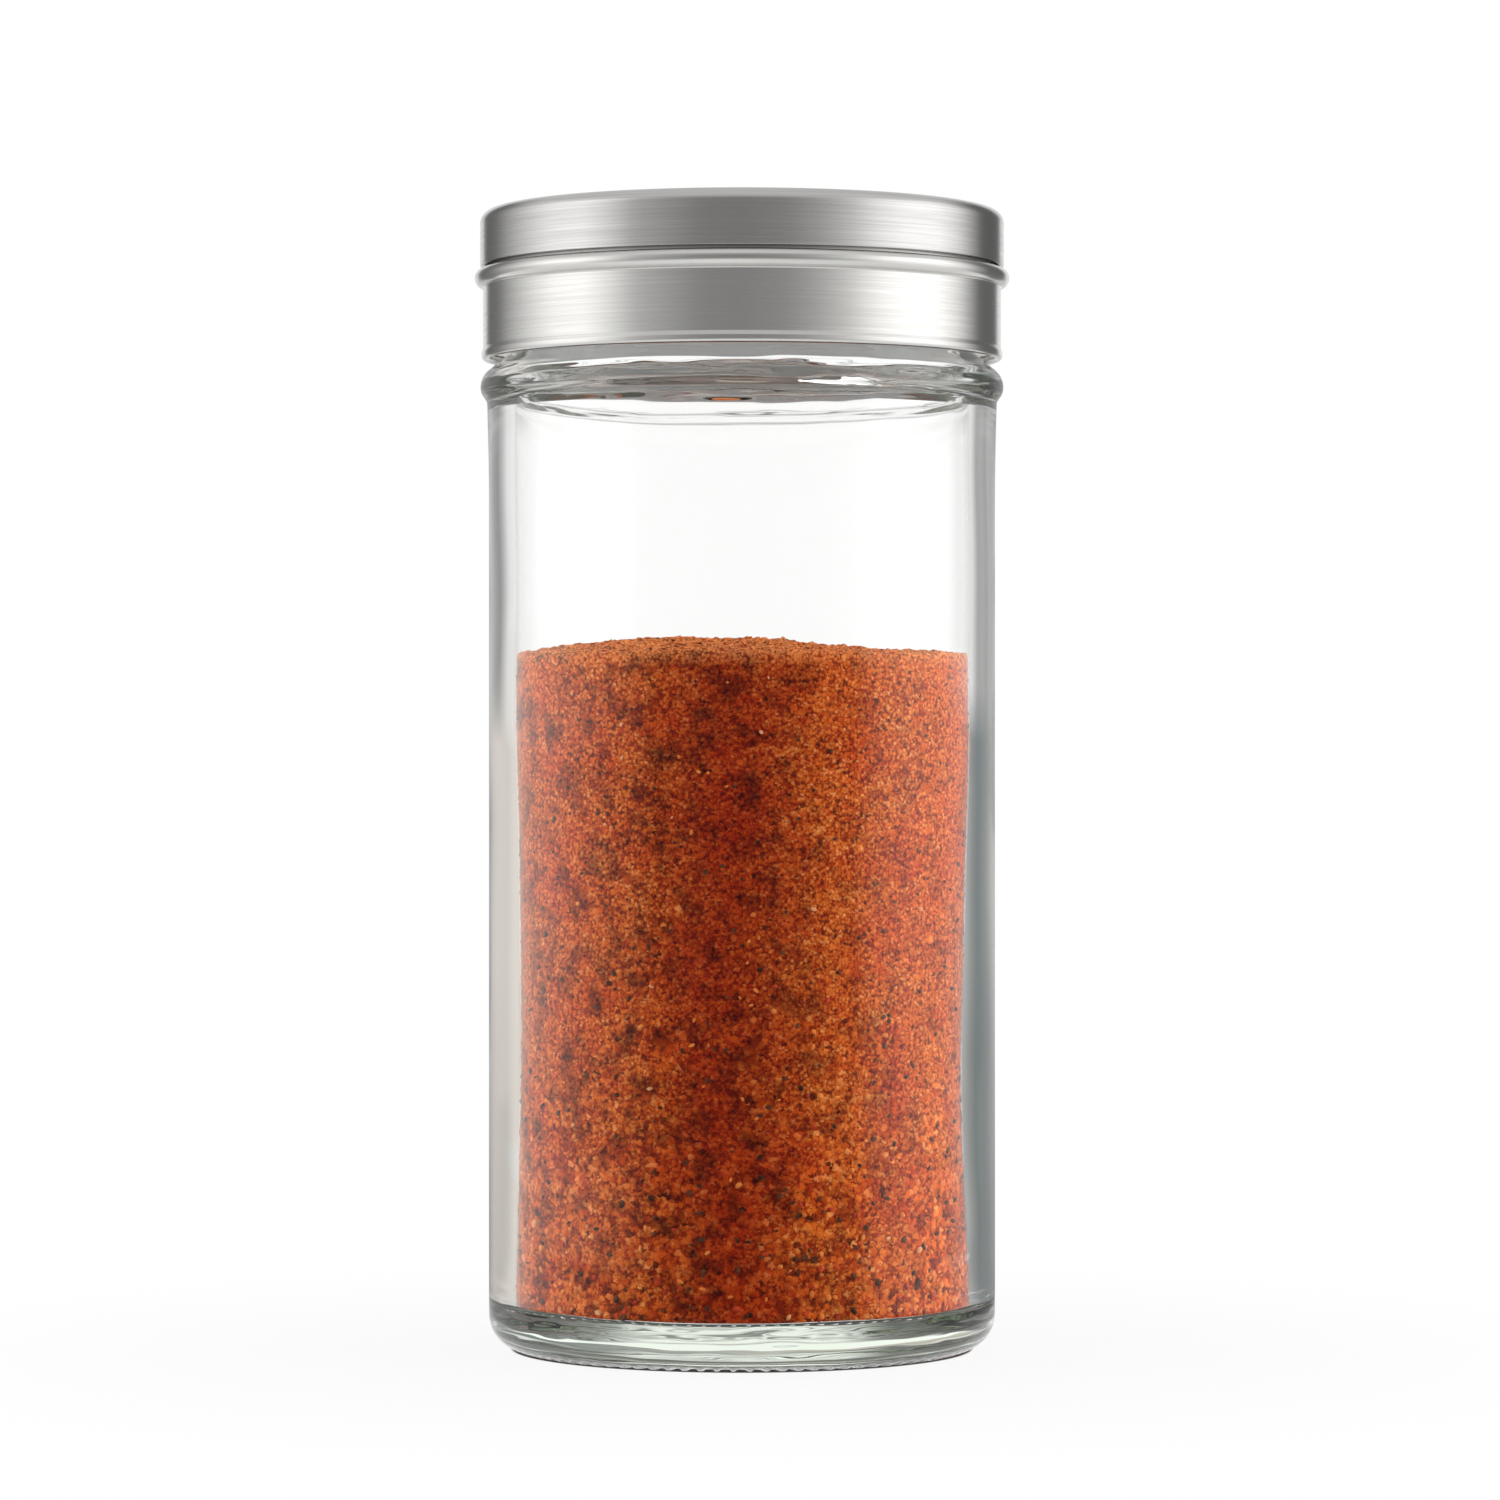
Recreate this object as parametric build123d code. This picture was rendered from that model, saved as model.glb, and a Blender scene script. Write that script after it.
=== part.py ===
"""A round glass spice jar with a turning shaker cap, in millimetres, +Z up, standing on z = 0.

The jar is one piece of clear glass with a ring of stippling under its foot, a round bead at
its shoulder and a screw thread on its neck. The lid is a steel collar pressed round a plastic
screw insert. Its top is a perforated steel plate, and a steel cap turns over that plate on a
rivet, so that the cap's window shows the pour opening, a blank or the sprinkle holes.
The lid is screwed down and the window stands over the pour opening, on +X.
"""

import os

from build123d import *

# The glass jar
body_diameter = 48.0
body_wall = 2.4
jar_height = 104.3
floor_height = 4.2
floor_corner_radius = 0.6
heel_radius = 3.3
foot_ring_width = 1.6
punt_height = 1.4
punt_slope_width = 2.0
punt_corner_radius = 0.5
stipple_count = 88
stipple_groove_radius = 0.55
stipple_depth = 0.45
stipple_land = 0.8

# The shoulder bead and the neck
bead_rise = 1.2
bead_projection = 0.8
bead_flat = 1.4
bead_slope_height = 2.4
bead_root_radius = 2.0
bead_lower_radius = 1.3
bead_upper_radius = 2.0
neck_setback = 2.15
neck_height = 9.9
neck_wall = 2.35
neck_foot_radius = 0.8
rim_radius = 0.8
inner_shoulder_rise = 1.1
inner_shoulder_height = 4.5
inner_shoulder_radius = 3.0

# The screw thread: one rib on the neck, one in the insert
thread_pitch = 4.233
thread_start_rise = 1.3
thread_turns = 1.2
thread_rib_projection = 1.0
thread_root_width = 2.2
thread_crest_width = 1.2
thread_bury = 0.3
insert_rib_turns = 1.0
insert_rib_projection = 1.05
insert_rib_root_width = 2.0
thread_flank_gap = 0.15
thread_radial_gap = 0.35

# The plastic insert and the gasket
insert_skirt_wall = 0.95
insert_recess_gap = 0.55
insert_step_gap = 0.32
insert_ceiling = 1.45
insert_opening_gap = 0.5
insert_edge_chamfer = 0.2
insert_lead_in = 0.5
gasket_thickness = 1.1
gasket_inner_gap = 0.4
gasket_side_gap = 0.1

# The steel collar round the insert
steel_sheet = 0.35
collar_drop = 0.75
collar_flange_width = 0.5
collar_bead_radius = 0.8
collar_hem_radius = 0.4
collar_hem_projection = 0.15
press_gap = 0.05

# The perforated plate under the cap
plate_corner_radius = 0.6
plate_flange_gap = 0.1
window_inner_radius = 7.5
window_outer_radius = 17.0
window_angle = 76.0
window_corner_radius = 1.5
pour_direction = 0.0
sprinkle_direction = 180.0
sprinkle_hole_diameter = 2.4
sprinkle_row_spacing = 3.2
sprinkle_row_margin = 1.5
sprinkle_inner_row_holes = 3
sprinkle_angle = 60.0

# The turning cap
cap_side_gap = 0.38
cap_sheet = 0.45
cap_height = 5.25
cap_corner_radius = 1.2
cap_glide_gap = 0.1
cap_seam_gap = 0.3
window_direction = pour_direction

# The rivet that the cap turns on, and the washer that keeps the cap pressed down
rivet_shank_diameter = 4.0
rivet_running_gap = 0.05
rivet_head_diameter = 7.0
rivet_head_height = 1.0
rivet_tail_diameter = 6.4
rivet_tail_height = 0.7
washer_diameter = 9.0
washer_sheet = 0.25
washer_cone_height = 0.4
washer_gap = 0.02

# The spice in the jar
spice_gap = 0.15
spice_wall_height = 65.6
spice_mound_height = 1.5

# How far a cutting shape runs past what it cuts
overrun = 1.0

# Places worked out from the sizes above
body_radius = body_diameter / 2
bore_radius = body_radius - body_wall
neck_radius = body_radius - neck_setback
neck_bore_radius = neck_radius - neck_wall
neck_foot_height = jar_height - neck_height
bead_radius = body_radius + bead_projection
bead_high_corner_height = neck_foot_height - bead_slope_height
bead_low_corner_height = bead_high_corner_height - bead_flat
bead_bottom_height = bead_low_corner_height - bead_rise
inner_shoulder_top_height = neck_foot_height + inner_shoulder_rise
inner_shoulder_bottom_height = inner_shoulder_top_height - inner_shoulder_height
foot_outer_radius = body_radius - heel_radius
foot_inner_radius = foot_outer_radius - foot_ring_width
punt_radius = foot_inner_radius - punt_slope_width

thread_crest_radius = neck_radius + thread_rib_projection
insert_bore_radius = thread_crest_radius + thread_radial_gap
thread_low_height = neck_foot_height + thread_start_rise
thread_top_height = thread_low_height + thread_turns * thread_pitch + thread_root_width / 2
flank_slope = (thread_root_width - thread_crest_width) / 2 / thread_rib_projection
insert_rib_crest_width = insert_rib_root_width - 2 * flank_slope * insert_rib_projection
insert_rib_reach = insert_bore_radius - neck_radius
rib_drop = (thread_root_width + insert_rib_root_width) / 2 + thread_flank_gap - flank_slope * insert_rib_reach

insert_top_height = jar_height + gasket_thickness + insert_ceiling
plate_top_height = insert_top_height + steel_sheet
cap_top_height = plate_top_height + cap_glide_gap + cap_sheet
cap_bottom_height = cap_top_height - cap_height
collar_top_height = cap_bottom_height - cap_seam_gap
collar_bottom_height = neck_foot_height - collar_drop

insert_skirt_radius = insert_bore_radius + insert_skirt_wall
collar_bore_radius = insert_skirt_radius + press_gap
collar_radius = collar_bore_radius + steel_sheet
collar_opening_radius = collar_radius - collar_flange_width
plate_radius = collar_opening_radius - press_gap
plate_bore_radius = plate_radius - steel_sheet
plate_flange_radius = collar_radius - plate_flange_gap
cap_bore_radius = plate_radius + cap_side_gap
cap_radius = cap_bore_radius + cap_sheet
flange_top_height = collar_top_height - steel_sheet
flange_bottom_height = flange_top_height - steel_sheet
hem_top_height = collar_bottom_height + 2 * collar_hem_radius

insert_bottom_height = hem_top_height + press_gap
insert_neck_radius = plate_bore_radius - press_gap
insert_recess_radius = neck_radius + insert_recess_gap
insert_step_height = thread_top_height + insert_step_gap
insert_rib_low_height = insert_bottom_height + insert_edge_chamfer + insert_rib_root_width / 2

rivet_shank_radius = rivet_shank_diameter / 2
rivet_hole_radius = rivet_shank_radius + rivet_running_gap
plate_bottom_height = plate_top_height - steel_sheet
washer_bottom_height = plate_bottom_height - washer_cone_height - 2 * washer_gap


def turned(outline):
    """The solid that a closed outline of (radius, height) makes round the Z axis."""
    return revolve(Plane.XZ * make_face(outline), Axis.Z)


def helical_rib(root_radius, crest_radius, root_width, crest_width, turns, low_height, start_angle):
    """A screw rib whose root is buried in the wall that carries it."""
    outward = 1 if crest_radius > root_radius else -1
    buried_radius = root_radius - outward * thread_bury
    buried_width = root_width + 2 * flank_slope * thread_bury
    path = Helix(thread_pitch, turns * thread_pitch, root_radius)
    section_points = (
        (buried_radius - root_radius, -buried_width / 2),
        (crest_radius - root_radius, -crest_width / 2),
        (crest_radius - root_radius, crest_width / 2),
        (buried_radius - root_radius, buried_width / 2),
    )
    section_plane = Plane(origin=path @ 0, x_dir=(1, 0, 0), z_dir=path % 0)
    section = section_plane * make_face(Polyline(*section_points, close=True))
    rib = sweep(section, path=path, is_frenet=True)
    return Pos(0, 0, low_height) * Rot(0, 0, start_angle) * rib


def sector(inner_radius, outer_radius, angle, corner_radius, direction):
    """A ring sector with round corners, centred on a direction in degrees from +X."""
    reach = outer_radius + overrun
    wedge = make_face(
        Polyline(
            (0, 0),
            Vector(reach, 0).rotate(Axis.Z, -angle / 2) * 2,
            Vector(reach, 0) * 2,
            Vector(reach, 0).rotate(Axis.Z, angle / 2) * 2,
            close=True,
        )
    )
    shape = (Circle(outer_radius) - Circle(inner_radius)) & wedge
    return Rot(0, 0, direction) * fillet(shape.vertices(), corner_radius)


def stipple_grooves():
    """Radial grooves across the outer edge of the foot ring, which leave a plain land inside."""
    groove_start = foot_inner_radius + stipple_land
    groove_length = body_radius - groove_start
    groove = Cylinder(
        stipple_groove_radius,
        groove_length,
        rotation=(0, 90, 0),
        align=(Align.CENTER, Align.CENTER, Align.MIN),
    )
    groove = Pos(groove_start, 0, stipple_depth - stipple_groove_radius) * groove
    return [Rot(0, 0, step * 360 / stipple_count) * groove for step in range(stipple_count)]


def glass_jar():
    """The jar: foot ring, punt, heel, straight body, shoulder bead, threaded neck and rim."""
    corners = (
        ((0, punt_height), None),
        ((punt_radius, punt_height), punt_slope_width),
        ((foot_inner_radius, 0), punt_corner_radius),
        ((body_radius, 0), heel_radius),
        ((body_radius, bead_bottom_height), bead_root_radius),
        ((bead_radius, bead_low_corner_height), bead_lower_radius),
        ((bead_radius, bead_high_corner_height), bead_upper_radius),
        ((neck_radius, neck_foot_height), neck_foot_radius),
        ((neck_radius, jar_height), rim_radius),
        ((neck_bore_radius, jar_height), rim_radius),
        ((neck_bore_radius, inner_shoulder_top_height), inner_shoulder_radius),
        ((bore_radius, inner_shoulder_bottom_height), inner_shoulder_radius),
        ((bore_radius, floor_height), floor_corner_radius),
        ((0, floor_height), None),
    )
    wall = FilletPolyline(
        *[point for point, _ in corners],
        radius=[radius for _, radius in corners if radius is not None],
    )
    axis_line = Line(corners[-1][0], corners[0][0])
    thread = helical_rib(
        neck_radius,
        thread_crest_radius,
        thread_root_width,
        thread_crest_width,
        thread_turns,
        thread_low_height,
        0,
    )
    return turned(wall + axis_line) - stipple_grooves() + thread


def spice_powder():
    """The spice as one solid: the jar's bore and floor, and a low mound on top."""
    radius = bore_radius - spice_gap
    mound_height = spice_wall_height + spice_mound_height
    corner_radius = floor_corner_radius - spice_gap
    side = FilletPolyline(
        (0, floor_height),
        (radius, floor_height),
        (radius, spice_wall_height),
        radius=[corner_radius],
    )
    mound = TangentArc((0, mound_height), (radius, spice_wall_height), tangent=(1, 0))
    axis_line = Line((0, mound_height), (0, floor_height))
    return turned(side + mound + axis_line)


def rim_gasket():
    """The flat silicone ring between the glass rim and the insert's ceiling."""
    outer_radius = insert_recess_radius - gasket_side_gap
    ring = Circle(outer_radius) - Circle(neck_bore_radius + gasket_inner_gap)
    return Pos(0, 0, jar_height) * extrude(ring, gasket_thickness)


def threaded_insert():
    """The plastic ring inside the collar: screw rib, gasket recess and open ceiling."""
    ceiling_bottom = insert_top_height - insert_ceiling
    opening_radius = window_outer_radius + insert_opening_gap
    outline = Polyline(
        (insert_bore_radius + insert_lead_in, insert_bottom_height),
        (insert_skirt_radius - insert_edge_chamfer, insert_bottom_height),
        (insert_skirt_radius, insert_bottom_height + insert_edge_chamfer),
        (insert_skirt_radius, flange_bottom_height),
        (insert_neck_radius, flange_bottom_height),
        (insert_neck_radius, insert_top_height - plate_corner_radius),
        (insert_neck_radius - plate_corner_radius, insert_top_height),
        (opening_radius, insert_top_height),
        (opening_radius, ceiling_bottom),
        (insert_recess_radius, ceiling_bottom),
        (insert_recess_radius, insert_step_height),
        (insert_bore_radius, insert_step_height),
        (insert_bore_radius, insert_bottom_height + insert_lead_in),
        close=True,
    )
    rib_turn_offset = (insert_rib_low_height + rib_drop - thread_low_height) / thread_pitch
    rib = helical_rib(
        insert_bore_radius,
        insert_bore_radius - insert_rib_projection,
        insert_rib_root_width,
        insert_rib_crest_width,
        insert_rib_turns,
        insert_rib_low_height,
        360 * rib_turn_offset,
    )
    return turned(outline) + rib


def collar_band():
    """The steel collar: a rolled hem, a plain band, a bead and a flange that turns inwards."""
    bead_height = collar_top_height - collar_bead_radius
    bead_bore_radius = collar_bead_radius - steel_sheet
    bore_bead_bottom = bead_height - bead_bore_radius
    hem_centre_radius = collar_radius + collar_hem_projection - collar_hem_radius
    hem_centre_height = collar_bottom_height + collar_hem_radius
    band = (
        Polyline(
            (collar_bore_radius, hem_centre_height),
            (collar_bore_radius, bore_bead_bottom),
            (collar_radius, bore_bead_bottom),
        )
        + ThreePointArc(
            (collar_radius, bore_bead_bottom),
            (collar_radius + bead_bore_radius, bead_height),
            (collar_radius, flange_top_height),
        )
        + Polyline(
            (collar_radius, flange_top_height),
            (collar_opening_radius, flange_top_height),
            (collar_opening_radius, collar_top_height),
            (collar_radius, collar_top_height),
        )
        + ThreePointArc(
            (collar_radius, collar_top_height),
            (collar_radius + collar_bead_radius, bead_height),
            (collar_radius, bead_height - collar_bead_radius),
        )
        + Polyline(
            (collar_radius, bead_height - collar_bead_radius),
            (collar_radius, hem_centre_height),
            (collar_bore_radius, hem_centre_height),
        )
    )
    hem_place = Plane.XZ * Pos(hem_centre_radius, hem_centre_height)
    hem = revolve(hem_place * Circle(collar_hem_radius), Axis.Z)
    return turned(band) + hem


def sprinkle_holes():
    """The rows of small holes, as discs to cut from the plate: as many rows as the window takes."""
    holes = []
    rows_width = window_outer_radius - window_inner_radius - 2 * sprinkle_row_margin
    row_gaps = int(rows_width / sprinkle_row_spacing)
    first_radius = (window_inner_radius + window_outer_radius - row_gaps * sprinkle_row_spacing) / 2
    for row in range(row_gaps + 1):
        row_radius = first_radius + row * sprinkle_row_spacing
        count = sprinkle_inner_row_holes + row
        for place in range(count):
            angle = sprinkle_direction + sprinkle_angle * (place / (count - 1) - 1 / 2)
            holes.append(Rot(0, 0, angle) * Pos(row_radius, 0) * Circle(sprinkle_hole_diameter / 2))
    return holes


def sifter_plate():
    """The drawn steel plate with the pour opening, the sprinkle holes and a flange at its foot."""
    shell = turned(
        FilletPolyline(
            (0, plate_top_height),
            (plate_radius, plate_top_height),
            (plate_radius, flange_top_height),
            radius=[plate_corner_radius],
        )
        + Polyline(
            (plate_radius, flange_top_height),
            (plate_flange_radius, flange_top_height),
            (plate_flange_radius, flange_bottom_height),
            (plate_bore_radius, flange_bottom_height),
        )
        + FilletPolyline(
            (plate_bore_radius, flange_bottom_height),
            (plate_bore_radius, plate_bottom_height),
            (0, plate_bottom_height),
            radius=[plate_corner_radius - steel_sheet],
        )
        + Line((0, plate_bottom_height), (0, plate_top_height))
    )
    pour_opening = sector(
        window_inner_radius,
        window_outer_radius,
        window_angle,
        window_corner_radius,
        pour_direction,
    )
    cut_height = steel_sheet + 2 * overrun
    cut_level = Pos(0, 0, plate_bottom_height - overrun)
    for shape in [pour_opening, Circle(rivet_hole_radius), *sprinkle_holes()]:
        shell -= cut_level * extrude(shape, cut_height)
    return shell


def rotating_cap():
    """The steel cap: a shallow cup with round shoulders and one window to turn to the openings."""
    ceiling_height = cap_top_height - cap_sheet
    shell = turned(
        FilletPolyline(
            (0, cap_top_height),
            (cap_radius, cap_top_height),
            (cap_radius, cap_bottom_height),
            radius=[cap_corner_radius],
        )
        + Line((cap_radius, cap_bottom_height), (cap_bore_radius, cap_bottom_height))
        + FilletPolyline(
            (cap_bore_radius, cap_bottom_height),
            (cap_bore_radius, ceiling_height),
            (0, ceiling_height),
            radius=[cap_corner_radius - cap_sheet],
        )
        + Line((0, ceiling_height), (0, cap_top_height))
    )
    window = sector(
        window_inner_radius,
        window_outer_radius,
        window_angle,
        window_corner_radius,
        window_direction,
    )
    cut_height = cap_sheet + 2 * overrun
    cut_level = Pos(0, 0, ceiling_height - overrun)
    for shape in [window, Circle(rivet_hole_radius)]:
        shell -= cut_level * extrude(shape, cut_height)
    return shell


def pivot_rivet():
    """The rivet: a low domed head over the cap, a shank and a flat tail under the washer."""
    head_radius = rivet_head_diameter / 2
    head_bottom = cap_top_height + rivet_running_gap
    head_top = head_bottom + rivet_head_height
    tail_radius = rivet_tail_diameter / 2
    tail_top = washer_bottom_height
    tail_bottom = tail_top - rivet_tail_height
    profile = (
        Polyline(
            (0, tail_bottom),
            (tail_radius, tail_bottom),
            (tail_radius, tail_top),
            (rivet_shank_radius, tail_top),
            (rivet_shank_radius, head_bottom),
            (head_radius, head_bottom),
        )
        + TangentArc((0, head_top), (head_radius, head_bottom), tangent=(1, 0))
        + Line((0, head_top), (0, tail_bottom))
    )
    return turned(profile)


def spring_washer():
    """The dished washer between the plate and the rivet's tail, which keeps the cap snug."""
    outer_radius = washer_diameter / 2
    low = washer_bottom_height + washer_gap
    high = low + washer_cone_height
    return turned(
        Polyline(
            (rivet_hole_radius, low),
            (outer_radius, high - washer_sheet),
            (outer_radius, high),
            (rivet_hole_radius, low + washer_sheet),
            close=True,
        )
    )


pieces = {
    "glass_jar": glass_jar,
    "spice_powder": spice_powder,
    "rim_gasket": rim_gasket,
    "threaded_insert": threaded_insert,
    "collar_band": collar_band,
    "sifter_plate": sifter_plate,
    "rotating_cap": rotating_cap,
    "pivot_rivet": pivot_rivet,
    "spring_washer": spring_washer,
}

os.makedirs("parts", exist_ok=True)
for name, build_piece in pieces.items():
    export_step(build_piece(), f"parts/{name}.step")
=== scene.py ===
"""A glass spice jar under a brushed steel shaker lid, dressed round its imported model.

The glass, the spice and the lid's turned steel are modelled here at a finer grain than the
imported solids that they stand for. Everything is in metres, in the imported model's frame.
"""

import logging
import math
import random
from dataclasses import dataclass
from enum import Enum
from typing import Any, Iterable, Sequence, Union

import bmesh
import bpy
from mathutils import Euler, Matrix, Vector, noise


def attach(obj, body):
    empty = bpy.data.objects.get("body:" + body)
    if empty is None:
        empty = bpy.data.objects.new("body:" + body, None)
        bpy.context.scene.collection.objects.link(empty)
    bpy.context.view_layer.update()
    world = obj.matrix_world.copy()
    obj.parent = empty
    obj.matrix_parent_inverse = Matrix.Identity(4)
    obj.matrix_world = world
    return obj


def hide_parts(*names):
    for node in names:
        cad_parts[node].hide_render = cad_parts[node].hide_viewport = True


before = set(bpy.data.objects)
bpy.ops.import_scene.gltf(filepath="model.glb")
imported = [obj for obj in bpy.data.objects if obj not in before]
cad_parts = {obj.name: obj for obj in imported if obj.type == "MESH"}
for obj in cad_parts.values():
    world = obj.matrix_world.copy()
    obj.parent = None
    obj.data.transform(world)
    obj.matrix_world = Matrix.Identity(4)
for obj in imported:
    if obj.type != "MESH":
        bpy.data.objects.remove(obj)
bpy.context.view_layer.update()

log = logging.getLogger("spice_jar")

Material = bpy.types.Material
Node = bpy.types.Node
Piece = bpy.types.Object
Shape = bmesh.types.BMesh
Socket = bpy.types.NodeSocket
Tree = bpy.types.NodeTree
Colour = tuple[float, float, float, float]
Feed = Union[Node, Socket]
Pair = tuple[float, float]
Table = Sequence[tuple[float, Any]]

MM = 0.001
WELD = 1e-6
WEDGES = 8
WHITE: Colour = (1.0, 1.0, 1.0, 1.0)
# The settings of a Mix node that lays one colour over another, and of one that tints it
OVER = {"data_type": "RGBA"}
TINT = {"data_type": "RGBA", "blend_type": "MULTIPLY"}


@dataclass(frozen=True)
class Corner:
    """A corner of a turned outline, in millimetres.

    Attributes:
        radius: Its distance from the axis.
        height: Its height.
        rounding: The radius of its rounding.
        step: The longest straight piece of the run after it, where that isn't the outline's own.
    """

    radius: float
    height: float
    rounding: float = 0.0
    step: float = 0.0


@dataclass(frozen=True)
class Outline:
    """A turned outline with rounded corners.

    Attributes:
        corners: The corners in order. The outline closes from the last to the first.
        step: The longest straight piece, in millimetres.
        arc_step: The angle that one piece of a rounding turns, in degrees.
    """

    corners: tuple[Corner, ...]
    step: float = 1.0
    arc_step: float = 9.0

    def rounded(self, place: int) -> list[Vector]:
        """The points of one corner, as an arc where it is rounded.

        Args:
            place: The corner's place in the outline.

        Returns:
            Its points in millimetres, as (radius, height).
        """
        corner = self.corners[place]
        here = Vector((corner.radius, corner.height))
        if not corner.rounding:
            return [here]
        before, after = (self.corners[(place + side) % len(self.corners)] for side in (-1, 1))
        back = (Vector((before.radius, before.height)) - here).normalized()
        on = (Vector((after.radius, after.height)) - here).normalized()
        half = back.angle(on) / 2
        centre = here + (back + on).normalized() * corner.rounding / math.sin(half)
        start = here + back * corner.rounding / math.tan(half) - centre
        turn = math.pi - 2 * half
        if back.x * on.y - back.y * on.x > 0:
            turn = -turn
        pieces = max(2, math.ceil(abs(math.degrees(turn)) / self.arc_step))
        return [centre + Matrix.Rotation(turn * share / pieces, 2) @ start for share in range(pieces + 1)]

    def points(self) -> list[Vector]:
        """The outline's points in metres, as (radius, height), with its long runs divided.

        Returns:
            The points in order, from the first corner on.
        """
        arcs = [self.rounded(place) for place in range(len(self.corners))]
        points = []
        for corner, arc, following in zip(self.corners, arcs, arcs[1:] + arcs[:1]):
            here, there = arc[-1], following[0]
            pieces = max(1, math.ceil((there - here).length / (corner.step or self.step) - WELD))
            points += arc[:-1] + [here.lerp(there, share / pieces) for share in range(pieces)]
        return [point * MM for point in points]


def turned(outline: Outline, steps: int) -> Shape:
    """Spins an outline once round the Z axis into a closed mesh.

    One wedge is spun first and then copied round, which is much quicker than one long spin.

    Args:
        outline: The outline to spin.
        steps: The number of pieces round the axis, a multiple of the number of wedges.

    Returns:
        The closed mesh, with its faces outwards.
    """
    wedge = math.tau / WEDGES
    about = {"cent": (0, 0, 0), "axis": (0, 0, 1), "dvec": (0, 0, 0)}
    mesh = bmesh.new()
    corners = [mesh.verts.new((point.x, 0.0, point.y)) for point in outline.points()]
    pairs = zip(corners, corners[1:] + corners[:1])
    sides = [mesh.edges.new(pair) for pair in pairs if max(corner.co.x for corner in pair) > WELD]
    bmesh.ops.spin(
        mesh, geom=corners + sides, angle=wedge, steps=steps // WEDGES, use_duplicate=False, **about
    )
    bmesh.ops.delete(mesh, geom=[side for side in mesh.edges if not side.link_faces], context="EDGES")
    bmesh.ops.spin(
        mesh,
        geom=mesh.verts[:] + mesh.edges[:] + mesh.faces[:],
        angle=math.tau - wedge,
        steps=WEDGES - 1,
        use_duplicate=True,
        **about,
    )
    bmesh.ops.remove_doubles(mesh, verts=mesh.verts, dist=WELD)
    bmesh.ops.recalc_face_normals(mesh, faces=mesh.faces)
    return mesh


def finished(name: str, mesh: Shape, material: Material) -> Piece:
    """Turns a mesh in progress into a smooth object with one material.

    Args:
        name: The piece's name.
        mesh: The mesh, which is freed.
        material: The piece's material.

    Returns:
        The new object, linked to the scene at the origin.
    """
    data = bpy.data.meshes.new(name)
    mesh.to_mesh(data)
    mesh.free()
    data.materials.append(material)
    data.shade_smooth()
    piece = bpy.data.objects.new(name, data)
    bpy.context.scene.collection.objects.link(piece)
    return piece


def weighted(piece: Piece) -> Piece:
    """Gives a piece normals that follow its larger faces, so that flats look flat beside roundings."""
    piece.modifiers.new("flat_normals", "WEIGHTED_NORMAL").keep_sharp = True
    return piece


def cut(piece: Piece, cutter: Shape, sharp_angle: float = 35.0) -> Piece:
    """Cuts a shape out of a piece and keeps the cut's rims sharp.

    Args:
        piece: The piece to cut.
        cutter: The closed shape to take away, which is freed.
        sharp_angle: The angle in degrees past which an edge stays sharp.

    Returns:
        The same object with its new mesh.
    """
    tool = finished("cutter", cutter, piece.data.materials[0])
    modifier = piece.modifiers.new("opening", "BOOLEAN")
    modifier.operation = "DIFFERENCE"
    modifier.solver = "EXACT"
    modifier.object = tool
    bpy.context.view_layer.update()
    shape = bpy.data.meshes.new_from_object(piece.evaluated_get(bpy.context.evaluated_depsgraph_get()))
    piece.modifiers.clear()
    bpy.data.objects.remove(tool)
    mesh = bmesh.new()
    mesh.from_mesh(shape)
    for edge in mesh.edges:
        edge.smooth = len(edge.link_faces) != 2 or edge.calc_face_angle() < math.radians(sharp_angle)
    mesh.to_mesh(shape)
    mesh.free()
    shape.name = piece.name
    piece.data = shape
    return piece


def srgb(code: str) -> Colour:
    """Turns an sRGB hex value to a linear colour.

    Args:
        code: The value, such as c9c8c6.

    Returns:
        The colour, with full alpha.
    """
    channels = [int(code[place : place + 2], 16) / 255 for place in (0, 2, 4)]
    linear = [level / 12.92 if level <= 0.04045 else ((level + 0.055) / 1.055) ** 2.4 for level in channels]
    return (*linear, 1.0)


def grey(level: float) -> Colour:
    """A linear grey with full alpha."""
    return (level, level, level, 1.0)


def add_node(tree: Tree, kind: str, inputs: Any = (), stops: Table = (), **settings: Any) -> Node:
    """Adds a node with its settings and links.

    Args:
        tree: The tree that gets the node.
        kind: The node's type, after the words ShaderNode.
        inputs: What goes into it, in order or by place or name: values, outputs, or nodes, of
            which the first live output counts.
        stops: A colour ramp's places, each with a grey level or an sRGB hex colour.
        settings: Values for the node's properties.

    Returns:
        The new node.
    """
    node = tree.nodes.new(f"ShaderNode{kind}")
    for name, value in settings.items():
        setattr(node, name, value)
    for key, value in inputs.items() if isinstance(inputs, dict) else enumerate(inputs):
        if isinstance(value, Node):
            value = next(output for output in value.outputs if output.enabled)
        if isinstance(value, Socket):
            tree.links.new(value, node.inputs[key])
        else:
            node.inputs[key].default_value = value
    if stops:
        elements = node.color_ramp.elements
        while len(elements) < len(stops):
            elements.new(0.5)
        for element, (place, tone) in zip(elements, stops):
            element.position = place
            element.color = srgb(tone) if isinstance(tone, str) else grey(tone)
    return node


def new_material(name: str) -> tuple[Material, Tree]:
    """Starts a node material.

    Args:
        name: The material's name.

    Returns:
        The material and its empty tree.
    """
    material = bpy.data.materials.new(name)
    material.use_nodes = True
    material.node_tree.nodes.clear()
    return material, material.node_tree


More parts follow.
